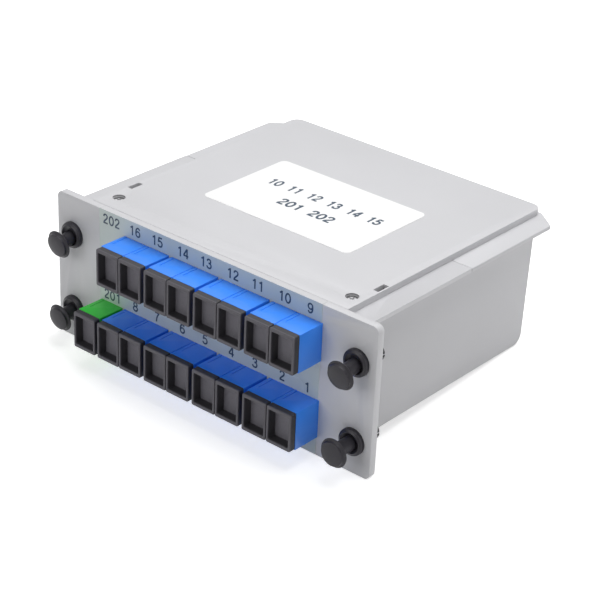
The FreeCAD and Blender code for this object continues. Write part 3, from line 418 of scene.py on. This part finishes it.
def shaded_screw_holes(surface):
    """1 on the walls of the cover's screw holes, which get painted shade, and 0 elsewhere."""
    depth = (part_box("top_cover")[1].z - surface.along("Z")) * (1.0 / MM)
    below = surface.ramp(depth, (0.04, 0.0), (0.09, 1.0), (0.45, 1.0), (0.6, 0.3))
    return below * surface.ramp(from_screw(surface), (0.90, 1.0), (0.95, 0.0))


def screw_surface(name, base):
    """Plated screw: a paler middle, and a rim darkened with painted shade where the head sits in
    its counterbore.
    """
    surface = Surface(name, Metallic=1.0)
    lines = surface.noise(3000.0, roughness=0.65)
    # Painted shade: the head darkens to 0.28 of the base towards its rim, and is paler at 1.4 in
    # its middle.
    rim = surface.ramp(from_screw(surface), (0.42, 0.0), (0.60, 1.0))
    surface.paint(Base_Color=surface.mix(rim, scaled(base, 1.4), scaled(base, 0.28)),
                  Roughness=lines * 0.2 + 0.28)
    surface.bump(lines, 0.000006)
    return surface.material


def foam_surface(name, base):
    """Closed-cell foam: packed cells with raised walls."""
    surface = Surface(name, Roughness=0.9)
    cells = surface.node("ShaderNodeTexVoronoi", {"Vector": surface.place(), "Scale": 2400.0},
                         output="Distance")
    surface.paint(Base_Color=surface.mix(cells, scaled(base, 0.6), scaled(base, 1.5)))
    surface.bump(cells, 0.0001)
    return surface.material


def floor_surface(name, glow):
    """Pale floor that keeps its shadow and looks white where it is seen or mirrored.

    The glow rises to 1 far from the cassette, where the lamps don't reach.
    """
    surface = Surface(name, Base_Color=(0.80, 0.80, 0.80), Emission_Strength=1.0)
    far = surface.ramp(surface.vector("LENGTH", surface.place(), output="Value"),
                       (0.35, 0.0), (0.95, 1.0))
    level = surface.mix(far, (glow, glow, glow), WHITE)
    surface.paint(Roughness=surface.noise(300.0, detail=2.0) * 0.05 + 0.86,
                  Emission_Color=surface.mix(surface.seen(), (0.0, 0.0, 0.0), level))
    return surface.material


MATERIALS = {}


def make_materials(colours):
    """One material for each of the record's slots, one more for the cover and one for ink."""
    case = {"grain": 2600.0, "depth": 0.000035, "gloss": 0.46, "cloud": 0.015}
    adapter = {"grain": 3000.0, "depth": 0.00001, "gloss": 0.33}
    natural = {"grain": 2600.0, "depth": 0.00001}
    MATERIALS.update({
        "case_plastic": moulded("grey_moulding", colours.case, **case),
        # The cover's moulding has painted shade on the walls of its screw holes.
        "cover_plastic": moulded("cover_moulding", colours.case, painted_shade=shaded_screw_holes, **case),
        "label_film": film_surface("panel_film", colours.film, colours.case),
        "label_paper": paper_surface("white_label", colours.paper),
        "ink": ink_surface("printed_ink", colours.ink),
        "screw_steel": screw_surface("zinc_plate", colours.steel),
        "latch_nylon": moulded("black_nylon", colours.nylon, grain=3200.0, depth=0.00002,
                               gloss=0.31, cloud=0.12, Specular_IOR_Level=0.22),
        "adapter_blue": moulded("blue_moulding", colours.blue, **adapter),
        "adapter_green": moulded("green_moulding", colours.green, **adapter),
        "cap_black": cap_surface("soft_black", colours.cap),
        "clip_steel": metal_surface("spring_steel", colours.steel, grain=3000.0),
        "zirconia": moulded("ceramic", colours.ceramic, grain=4000.0, depth=0.000004,
                            gloss=0.2, cloud=0.02),
        "holder_plastic": moulded("natural_moulding", colours.natural, gloss=0.4, **natural),
        "boot_rubber": moulded("blue_rubber", colours.boot, grain=3400.0, depth=0.00002,
                               gloss=0.6),
        "fibre_jacket": moulded("fibre_buffer", colours.jacket, grain=5000.0, depth=0.000008,
                                gloss=0.4),
        "module_steel": metal_surface("module_case", colours.steel, grain=2600.0),
        "foam": foam_surface("cell_foam", colours.foam),
        "saddle_plastic": moulded("saddle_nylon", colours.natural, gloss=0.45, **natural),
    })


# Surfaces

def eased(corners, steps):
    """Round the corners of a line of stations; a corner's last value is its cut.

    Each corner P is replaced by the curve (1-s)^2 A + 2s(1-s) P + s^2 B for s
    from 0 to 1, where A and B lie on the lines to its neighbours at the
    corner's cut. Distance is the largest change of any value of a station.
    """
    points, cut = np.split(np.array(corners, float), [-1], axis=1)
    to_last = np.roll(points, 1, axis=0) - points
    to_next = np.roll(points, -1, axis=0) - points
    far = np.abs([to_last, to_next]).max(axis=2, keepdims=True)
    start = points + to_last / far[0] * cut
    end = points + to_next / far[1] * cut
    s = np.linspace(0.0, 1.0, steps)[None, :, None]
    curve = ((1 - s) ** 2 * start[:, None] + 2 * s * (1 - s) * points[:, None]
             + s ** 2 * end[:, None]).reshape(-1, points.shape[1])
    moved = np.abs(np.diff(curve, axis=0, prepend=np.inf)).max(axis=1)
    return curve[moved > SAME_STATION]


def rings(stations, steps):
    """Carry stations (half width, half height, corner radius, y) round an outline.

    Each ring is a rounded rectangle: in each quarter a corner arc
    (half - radius) + radius * (cos, sin) of an angle that runs through 90
    degrees in `steps` points. With half sizes equal to the radius it is a circle.
    """
    width, height, radius, depth = (column[:, None] for column in stations.T)
    quarter = np.repeat(np.arange(4), steps)
    angle = quarter * math.pi / 2 + np.tile(np.linspace(0, math.pi / 2, steps), 4)
    across = np.where((quarter == 0) | (quarter == 3), 1.0, -1.0)
    up = np.where(quarter < 2, 1.0, -1.0)
    x = across * (width - radius) + radius * np.cos(angle)
    z = up * (height - radius) + radius * np.sin(angle)
    return np.stack([x, np.broadcast_to(depth, x.shape), z], axis=-1)


def lathe(profile, steps):
    """Circles from a profile of (radius, y), each of four times `steps` points."""
    radius, depth = np.array(profile).T
    return rings(np.stack([radius, radius, radius, depth], axis=1), steps)


def skin(grid, loop=False):
    """Vertices and faces of a grid of rings: quads between rings, and end faces.

    With loop, the last ring joins the first instead.
    """
    count, around = grid.shape[:2]
    index = np.arange(count * around).reshape(count, around)
    first = index if loop else index[:-1]
    second = np.roll(index, -1, axis=0) if loop else index[1:]
    faces = np.stack([first, np.roll(first, -1, axis=1), np.roll(second, -1, axis=1), second],
                     axis=-1).reshape(-1, 4).tolist()
    if not loop:
        faces += [index[0].tolist(), index[-1][::-1].tolist()]
    return grid.reshape(-1, 3), faces


def sector(profile, start, end, steps):
    """Vertices and faces of a closed profile (radius, y) turned from start to end.

    A point of the profile becomes (radius cos a, y, radius sin a) at each angle a.
    """
    radius, depth = (column[None, :] for column in np.array(profile).T)
    angle = np.linspace(start, end, steps)[:, None]
    grid = np.stack([radius * np.cos(angle), np.broadcast_to(depth, (steps, depth.size)),
                     radius * np.sin(angle)], axis=-1)
    return skin(grid)


def joined(parts):
    """Several vertex and face lists as one."""
    starts = np.cumsum([0] + [len(points) for points, _ in parts])
    faces = [[int(corner + start) for corner in face]
             for (_, part), start in zip(parts, starts) for face in part]
    return np.concatenate([points for points, _ in parts]), faces


def closed_mesh(name, points, faces):
    """A mesh with its doubles merged and its faces turned outwards."""
    mesh = bpy.data.meshes.new(name)
    mesh.from_pydata(points.tolist(), [], faces)
    work = bmesh.new()
    work.from_mesh(mesh)
    bmesh.ops.remove_doubles(work, verts=work.verts, dist=SAME_POINT)
    bmesh.ops.dissolve_degenerate(work, edges=work.edges, dist=NO_EDGE)
    bmesh.ops.recalc_face_normals(work, faces=work.faces)
    work.to_mesh(mesh)
    work.free()
    return mesh


def show(name, mesh, slot, body, *stands_for):
    """Add a finished piece: material, body, and the CAD nodes that it stands for.

    The ink has a material here and no slot in the record.
    """
    piece = bpy.data.objects.new(name, mesh)
    bpy.context.scene.collection.objects.link(piece)
    mesh.materials.append(MATERIALS[slot])
    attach(piece, body)
    if stands_for:
        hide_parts(*stands_for)
    return piece


def turned_piece(name, points, faces, centre, slot, body, node):
    """A piece drawn in millimetres about its own axis, in place of a CAD node.

    It is moved to its centre, and its shading keeps large flat faces flat.
    """
    mesh = closed_mesh(name, points * MM + np.array(centre), faces)
    piece = show(name, mesh, slot, body, node)
    mesh.shade_smooth()
    mesh.set_sharp_from_angle(angle=math.radians(EDGE_ANGLE))
    weights = piece.modifiers.new("flat_faces", "WEIGHTED_NORMAL")
    weights.keep_sharp = True


def softened(node, width, slot):
    """The CAD piece's own faces with every sharp edge rounded off."""
    work = bmesh.new()
    work.from_mesh(frame["nodes"][node].data)
    bmesh.ops.remove_doubles(work, verts=work.verts, dist=SAME_CAD_POINT)
    bmesh.ops.dissolve_limit(work, angle_limit=math.radians(FLAT_ANGLE), verts=work.verts,
                             edges=work.edges)
    mesh = bpy.data.meshes.new(f"{node}_rounded")
    work.to_mesh(mesh)
    work.free()
    piece = show(f"{node}_rounded", mesh, slot, CASE, node)
    rounding = piece.modifiers.new("rounding", "BEVEL")
    rounding.limit_method = "ANGLE"
    rounding.angle_limit = math.radians(EDGE_ANGLE)
    rounding.width = width
    rounding.segments = 2
    rounding.harden_normals = True
    mesh.shade_smooth()
    return piece


def front_middle(node):
    """Middle of a CAD node's front face."""
    low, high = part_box(node)
    return ((low.x + high.x) / 2, low.y, (low.z + high.z) / 2)


# A turned piece has this many times the points of a rounded corner in a quarter turn.
ROUND_STEPS = 3
# Radii in millimetres: a grommet's bore, and where it keeps still round a leaning plunger.
GROMMET_BORE = 2.4
STILL_RADIUS = 3.1


def cap_grid(sizes):
    """Dust cap: recess, rounded rim, boss in the port's mouth, hollow plug behind.

    Corners are (half width, half height, corner radius, y, cut).
    """
    rim = sizes.cap_round / MM
    recess = [(3.2, 4.35, 0.2, 3.1, 0), (3.63, 4.78, 0.25, 3.1, 0.15),
              (3.9, 5.05, 0.35, 0.0, 0.15)]
    flange = [(4.65, 6.2, 0.5, 0.0, rim), (4.65, 6.2, 0.5, 2.35, 0.12)]
    boss = [(4.03, 5.38, 0.3, 2.35, 0.05), (4.03, 5.38, 0.3, 3.7, 0.1)]
    plug = [(3.63, 4.43, 0.3, 3.7, 0.05), (3.63, 4.43, 0.3, 7.4, 0.2)]
    hollow = [(2.83, 3.63, 0.3, 7.4, 0.1), (2.83, 3.63, 0.3, 3.7, 0)]
    return rings(eased(recess + flange + boss + plug + hollow, 5), sizes.arc_steps)


def knob_grid(sizes):
    """Latch plunger: domed head that flares to a thin lip, coned neck and pin.

    Corners are (radius, y, cut).
    """
    dome = sizes.knob_dome / MM
    head = [(0.0, 0.0, 0), (2.4, dome * 0.25, 0.9), (3.95, dome, 0.28), (3.75, 1.0, 0.25),
            (4.2, 1.45, 0.2)]
    lip = [(4.7, 1.5, 0.14), (4.66, 1.8, 0.14)]
    neck = [(3.6, 2.05, 0.3), (2.6, 2.9, 0.4), (2.3, 3.9, 0.4), (2.3, 9.95, 0.02)]
    pin = [(2.35, 10.2, 0.02), (2.35, 13.2, 0.3), (1.85, 13.2, 0.05), (0.0, 13.2, 0)]
    return lathe(eased(head + lip + neck + pin, 6), ROUND_STEPS * sizes.arc_steps)


def leaning(points, lean, pivot):
    """Turn a plunger's points down about the middle of its pin's full-width end.

    With a the lean and d = depth - pivot, depth becomes
    pivot + d cos a - z sin a, and z becomes z cos a + d sin a.
    """
    x, depth, z = points.T
    angle = math.radians(lean)
    behind = depth - pivot
    return np.stack([x, pivot + behind * math.cos(angle) - z * math.sin(angle),
                     z * math.cos(angle) + behind * math.sin(angle)], axis=1)


def grommet_parts(sizes):
    """Latch grommet: rounded flange with a dished mouth, and a barrel with four fingers.

    Corners are (radius, y, cut).
    """
    mouth = [(GROMMET_BORE, -1.05, 0.08), (3.15, -1.6, 0.1), (3.4, -1.8, 0.12)]
    flange = [(3.75, -1.5, 0.15), (4.25, -1.3, 0.15), (4.4, -0.9, 0.15), (4.4, 0.0, 0.05)]
    barrel = [(3.0, 0.0, 0.02), (3.0, 4.4, 0.02), (GROMMET_BORE, 4.4, 0.02)]
    bush = eased(mouth + flange + barrel, 5)
    finger = eased([(GROMMET_BORE, 4.3, 0.02), (3.0, 4.3, 0.02), (3.0, 8.8, 0.2),
                    (2.5, 9.3, 0.15), (GROMMET_BORE, 9.3, 0.02)], 4)
    parts = [skin(lathe(bush, ROUND_STEPS * sizes.arc_steps), loop=True)]
    slit_half = 0.4
    wall_middle = 2.7
    slit = math.asin(slit_half / wall_middle)
    for quarter in range(4):
        start = quarter * math.pi / 2
        parts.append(sector(finger, start + slit, start + math.pi / 2 - slit, steps=12))
    return joined(parts)


def hugging(points, lean, pivot):
    """Shift a grommet's bore down with the plunger that leans in it.

    The drop is (pivot - depth) * tan(lean) at the bore's own radius, and it
    fades to nothing at the radius where the grommet stays still.
    """
    x, depth, z = points.T
    held = np.clip((STILL_RADIUS - np.hypot(x, z)) / (STILL_RADIUS - GROMMET_BORE), 0.0, 1.0)
    drop = held * np.maximum(pivot - depth, 0.0) * math.tan(math.radians(lean))
    return np.stack([x, depth, z - drop], axis=1)


# Centre lines of the figures for a height of one. A stroke is a line through its knots, or an
# oval given by its middle and its two half sizes.
OVAL = "oval"
STROKES = {
    "0": [(OVAL, 0.325, 0.5, 0.2625, 0.4375)],
    "1": [[(0.40, 0.0), (0.40, 1.0)], [(0.40, 0.95), (0.31, 0.85), (0.15, 0.755)]],
    "2": [[(0.10, 0.70), (0.13, 0.84), (0.22, 0.92), (0.33, 0.9375), (0.46, 0.90),
           (0.54, 0.80), (0.54, 0.67), (0.47, 0.54), (0.34, 0.40), (0.20, 0.26),
           (0.10, 0.10)], [(0.04, 0.0625), (0.61, 0.0625)]],
    "3": [[(0.09, 0.745), (0.14, 0.87), (0.25, 0.93), (0.36, 0.93), (0.47, 0.87),
           (0.51, 0.76), (0.48, 0.64), (0.39, 0.56), (0.26, 0.54)],
          [(0.30, 0.545), (0.44, 0.52), (0.55, 0.42), (0.57, 0.29), (0.52, 0.15),
           (0.42, 0.08), (0.30, 0.0625), (0.17, 0.09), (0.09, 0.18), (0.065, 0.27)]],
    "4": [[(0.45, 0.97), (0.05, 0.31)], [(0.02, 0.285), (0.64, 0.285)],
          [(0.47, 0.0), (0.47, 1.0)]],
    "5": [[(0.14, 0.9375), (0.56, 0.9375)], [(0.175, 0.98), (0.105, 0.49)],
          [(0.10, 0.51), (0.20, 0.60), (0.32, 0.62), (0.45, 0.58), (0.55, 0.47),
           (0.57, 0.33), (0.53, 0.18), (0.43, 0.085), (0.30, 0.0625), (0.17, 0.09),
           (0.09, 0.18), (0.065, 0.26)]],
    "6": [(OVAL, 0.335, 0.325, 0.245, 0.2625),
          [(0.55, 0.75), (0.50, 0.87), (0.40, 0.935), (0.29, 0.92), (0.17, 0.83),
           (0.10, 0.66), (0.08, 0.48), (0.09, 0.32)]],
    "7": [[(0.05, 0.9375), (0.61, 0.9375)],
          [(0.58, 0.93), (0.46, 0.75), (0.35, 0.54), (0.28, 0.30), (0.245, 0.0)]],
    "8": [(OVAL, 0.325, 0.735, 0.21, 0.2025), (OVAL, 0.325, 0.30, 0.2575, 0.2375)],
    "9": [(OVAL, 0.315, 0.675, 0.245, 0.2625),
          [(0.10, 0.25), (0.15, 0.13), (0.25, 0.065), (0.36, 0.08), (0.48, 0.17),
           (0.55, 0.34), (0.57, 0.52), (0.56, 0.68)]],
}
# From one figure to the next as a share of their height, and from one stroke up to the next
# as a share of the ink's thickness.
ADVANCE = 0.777
LIFT = 0.02


def line_through(knots, steps):
    """A smooth line through its knots.

    Between knots b and c, with a before and d after them, it is half of
    2b + (c - a)t + (2a - 5b + 4c - d)t^2 + (3b - a - 3c + d)t^3.
    """
    points = np.array(knots)
    padded = np.concatenate([2 * points[:1] - points[1:2], points,
                             2 * points[-1:] - points[-2:-1]])
    a, b, c, d = (padded[first:first + len(points) - 1, None] for first in range(4))
    t = np.linspace(0.0, 1.0, steps, endpoint=False)[None, :, None]
    curve = 0.5 * (2 * b + (c - a) * t + (2 * a - 5 * b + 4 * c - d) * t ** 2
                   + (3 * b - a - 3 * c + d) * t ** 3)
    return np.concatenate([curve.reshape(-1, 2), points[-1:]])


def ribbon(stroke, pen, steps):
    """Vertices and faces of one stroke: its line widened by half the pen on each side.

    An oval's line is (x + across cos a, y + up sin a) for a full turn of a.
    """
    closed = stroke[0] == OVAL
    if closed:
        _, x, y, across, up = stroke
        angle = np.linspace(0.0, 2 * math.pi, 8 * steps, endpoint=False)
        line = np.stack([x + across * np.cos(angle), y + up * np.sin(angle)], axis=1)
        ahead = np.roll(line, -1, axis=0) - np.roll(line, 1, axis=0)
    else:
        line = line_through(stroke, steps)
        ahead = np.gradient(line, axis=0)
    ahead /= np.linalg.norm(ahead, axis=1, keepdims=True)
    side = pen / 2 * np.stack([-ahead[:, 1], ahead[:, 0]], axis=1)
    level = np.full((len(line), 1), 0.5)
    corners = [np.hstack([edge, height]) for edge, height in (
        (line + side, -level), (line - side, -level), (line - side, level),
        (line + side, level))]
    return skin(np.stack(corners, axis=1), loop=closed)


def figures(name, text, centre, height, pen, face, width=None):
    """Printed figures, fitted to a height and a place; each stroke lies just over the last."""
    parts = []
    for place, letter in enumerate(text):
        for order, stroke in enumerate(STROKES.get(letter, ())):
            points, faces = ribbon(stroke, pen, settings().arc_steps)
            parts.append((points + np.array([ADVANCE * place, 0.0, LIFT * order]), faces))
    points, faces = joined(parts)
    low, high = points.min(axis=0), points.max(axis=0)
    narrow = width / (high[0] - low[0]) if width else height
    flat = (points - (low + high) / 2) * np.array([narrow, height, settings().ink_thick])
    if face == "front":
        flat = np.stack([flat[:, 0], -flat[:, 2], flat[:, 1]], axis=1)
    show(name, closed_mesh(name, flat + np.array(centre), faces), "ink", CASE)


# Operators

class CASSETTE_OT_materials(bpy.types.Operator):
    """Make the materials and give one to every CAD piece"""

    bl_idname = "cassette.materials"
    bl_label = "Materials"

    def execute(self, context):
        make_materials(context.scene.cassette_colours)
        for part in frame["record"]["subparts"]:
            node = frame["nodes"][part["node"]]
            node.data.materials.clear()
            node.data.materials.append(MATERIALS[part["material_slot"]])
        return {"FINISHED"}


class CASSETTE_OT_case(bpy.types.Operator):
    """Round off the panel, the tray and the cover"""

    bl_idname = "cassette.case"
    bl_label = "Case"

    def execute(self, context):
        for node in ("front_panel", "case_tray"):
            softened(node, settings().case_round, "case_plastic")
        cover = softened("top_cover", settings().cover_round, "case_plastic")
        cover.data.materials[0] = MATERIALS["cover_plastic"]
        return {"FINISHED"}


class CASSETTE_OT_adapters(bpy.types.Operator):
    """Round off the nine adapters"""

    bl_idname = "cassette.adapters"
    bl_label = "Adapters"

    def execute(self, context):
        for node in ADAPTERS:
            softened(node, settings().adapter_round, "adapter_blue")
        softened("adapter_input", settings().adapter_round, "adapter_green")
        return {"FINISHED"}


class CASSETTE_OT_caps(bpy.types.Operator):
    """Make the seventeen dust caps"""

    bl_idname = "cassette.caps"
    bl_label = "Dust caps"

    def execute(self, context):
        points, faces = skin(cap_grid(settings()))
        for node in CAPS:
            turned_piece(f"{node}_moulded", points, faces, front_middle(node), "cap_black",
                         node, node)
        return {"FINISHED"}


class CASSETTE_OT_latches(bpy.types.Operator):
    """Make the four latch grommets and their plungers"""

    bl_idname = "cassette.latches"
    bl_label = "Latches"

    def execute(self, context):
        knob_points, knob_faces = skin(knob_grid(settings()))
        bush_points, bush_faces = grommet_parts(settings())
        panel_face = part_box("front_panel")[0].y
        pivot = settings().knob_pivot
        for place, lean in LATCH_LEANS.items():
            plunger, grommet = f"latch_plunger_{place}", f"latch_grommet_{place}"
            centre = front_middle(plunger)
            turned_piece(f"{plunger}_turned", leaning(knob_points, lean, pivot / MM),
                         knob_faces, centre, "latch_nylon", plunger, plunger)
            pivot_depth = (centre[1] + pivot - panel_face) / MM
            x, _, z = front_middle(grommet)
            turned_piece(f"{grommet}_turned", hugging(bush_points, lean, pivot_depth),
                         bush_faces, (x, panel_face, z), "latch_nylon", CASE, grommet)
        return {"FINISHED"}


class CASSETTE_OT_figures(bpy.types.Operator):
    """Print the port numbers on the film and plain numbers on the label"""

    bl_idname = "cassette.figures"
    bl_label = "Printed figures"

    def execute(self, context):
        sizes = settings()
        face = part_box("port_label")[0].y - sizes.ink_thick / 2
        panel_middle = front_middle("front_panel")[2]
        for node in CAPS:
            x, _, z = front_middle(node)
            row = "upper" if z > panel_middle else "lower"
            printed = {row: node.removeprefix("dust_cap_")}
            if node == "dust_cap_input":
                printed = INPUT_FIGURES
            for line, text in printed.items():
                figures(f"figure_{text}", text, (x, face, FIGURE_ROWS[line]),
                        sizes.figure_height, sizes.pen, "front")
        low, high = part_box("top_label")
        middle = (low + high) / 2
        top = high.z + sizes.ink_thick / 2
        for name, text, (across, along), width in LABEL_LINES:
            figures(name, text, (middle.x + across, middle.y + along, top),
                    sizes.label_figure_height, sizes.label_pen, "top", width)
        return {"FINISHED"}


def area_lamp(name, power, place, size):
    """A rectangular lamp that shines at the cassette."""
    lamp = bpy.data.lights.new(name, "AREA")
    lamp.shape = "RECTANGLE"
    lamp.size, lamp.size_y = size
    lamp.energy = power
    holder = bpy.data.objects.new(name, lamp)
    holder.location = place
    holder.rotation_mode = "QUATERNION"
    to_cassette = Vector(LAMP_TARGET) - Vector(place)
    holder.rotation_quaternion = to_cassette.to_track_quat("-Z", "Y")
    bpy.context.scene.collection.objects.link(holder)


class CASSETTE_OT_stage(bpy.types.Operator):
    """Set up the camera, the lamps, the world and the floor"""

    bl_idname = "cassette.stage"
    bl_label = "Stage"

    def execute(self, context):
        stage = context.scene.cassette_stage
        self.camera(context, stage)
        for name, power, place, size in LAMPS:
            area_lamp(name, getattr(stage, power), place, size)
        self.world(context, stage)
        self.floor(stage)
        context.scene.view_settings.view_transform = "Standard"
        return {"FINISHED"}

    def camera(self, context, stage):
        """Turn the camera by azimuth, elevation and roll, then step back from the panel's foot."""
        turn, lift = stage.azimuth, stage.elevation
        back = Vector((math.sin(turn) * math.cos(lift), -math.cos(turn) * math.cos(lift),
                       math.sin(lift)))
        level = Vector((0, 0, 1)).cross(back).normalized()
        upright = back.cross(level)
        right = math.cos(stage.roll) * level + math.sin(stage.roll) * upright
        up = -math.sin(stage.roll) * level + math.cos(stage.roll) * upright
        foot = Vector((0.0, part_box("front_panel")[0].y, 0.0))
        x, y, distance = stage.offset
        data = bpy.data.cameras.new("camera")
        data.sensor_width = SENSOR_WIDTH
        data.lens = stage.lens
        camera = bpy.data.objects.new("camera", data)
        camera.matrix_world = Matrix.Translation(foot + right * x + up * y + back * distance) @ (
            Matrix((right, up, back)).transposed().to_4x4())
        context.scene.collection.objects.link(camera)
        context.scene.camera = camera

    def world(self, context, stage):
        """Even fill light, white where it is seen, mirrored or looked through."""
        world = bpy.data.worlds.new("studio")
        tree = Tree(world, "Background")
        strength = tree.node("ShaderNodeMapRange", {"Value": tree.seen(), "To Min": stage.fill,
                                                    "To Max": 1.0})
        tree.paint(Color=WHITE, Strength=strength)
        context.scene.world = world

    def floor(self, stage):
        """The plane that the cassette rests on: the panel's foot and the tray's heel.

        With the foot at height 0, its height is the heel's * (y - foot) / (heel - foot).
        """
        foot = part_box("front_panel")[0].y
        tray_low, tray_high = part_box("case_tray")
        slope = tray_low.z / (tray_high.y - HEEL_INSET - foot)
        corners = FLOOR_REACH * np.array([(-1, -1), (1, -1), (1, 1), (-1, 1)])
        height = slope * (corners[:, 1] - foot)
        mesh = bpy.data.meshes.new("floor")
        mesh.from_pydata(np.column_stack([corners, height]).tolist(), [], [[0, 1, 2, 3]])
        mesh.materials.append(floor_surface("pale_floor", stage.glow))
        floor = bpy.data.objects.new("floor", mesh)
        bpy.context.scene.collection.objects.link(floor)


GROUPS = {CassetteSizes: "cassette_sizes", CassetteColours: "cassette_colours",
          CassetteStage: "cassette_stage"}
OPERATORS = (CASSETTE_OT_materials, CASSETTE_OT_case, CASSETTE_OT_adapters, CASSETTE_OT_caps,
             CASSETTE_OT_latches, CASSETTE_OT_figures, CASSETTE_OT_stage)


class CASSETTE_PT_panel(bpy.types.Panel):
    """Sizes, colours and the buttons that build each piece"""

    bl_label = "Cassette"
    bl_idname = "CASSETTE_PT_panel"
    bl_space_type = "VIEW_3D"
    bl_region_type = "UI"
    bl_category = "Cassette"

    def draw(self, context):
        for group, name in GROUPS.items():
            values = getattr(context.scene, name)
            for value in group.__annotations__:
                self.layout.prop(values, value)
        for operator in OPERATORS:
            self.layout.operator(operator.bl_idname)


def register():
    """Add the groups of settings to the scene, and the operators and the panel."""
    for group, name in GROUPS.items():
        bpy.utils.register_class(group)
        setattr(bpy.types.Scene, name, PointerProperty(type=group))
    for item in (*OPERATORS, CASSETTE_PT_panel):
        bpy.utils.register_class(item)


def unregister():
    """Take away what register added, in the opposite order."""
    for item in (CASSETTE_PT_panel, *reversed(OPERATORS)):
        bpy.utils.unregister_class(item)
    for group, name in GROUPS.items():
        delattr(bpy.types.Scene, name)
        bpy.utils.unregister_class(group)


def main():
    """Build the cassette and its stage."""
    register()
    for operator in OPERATORS:
        group, name = operator.bl_idname.split(".")
        getattr(getattr(bpy.ops, group), name)()


if __name__ == "__main__":
    main()
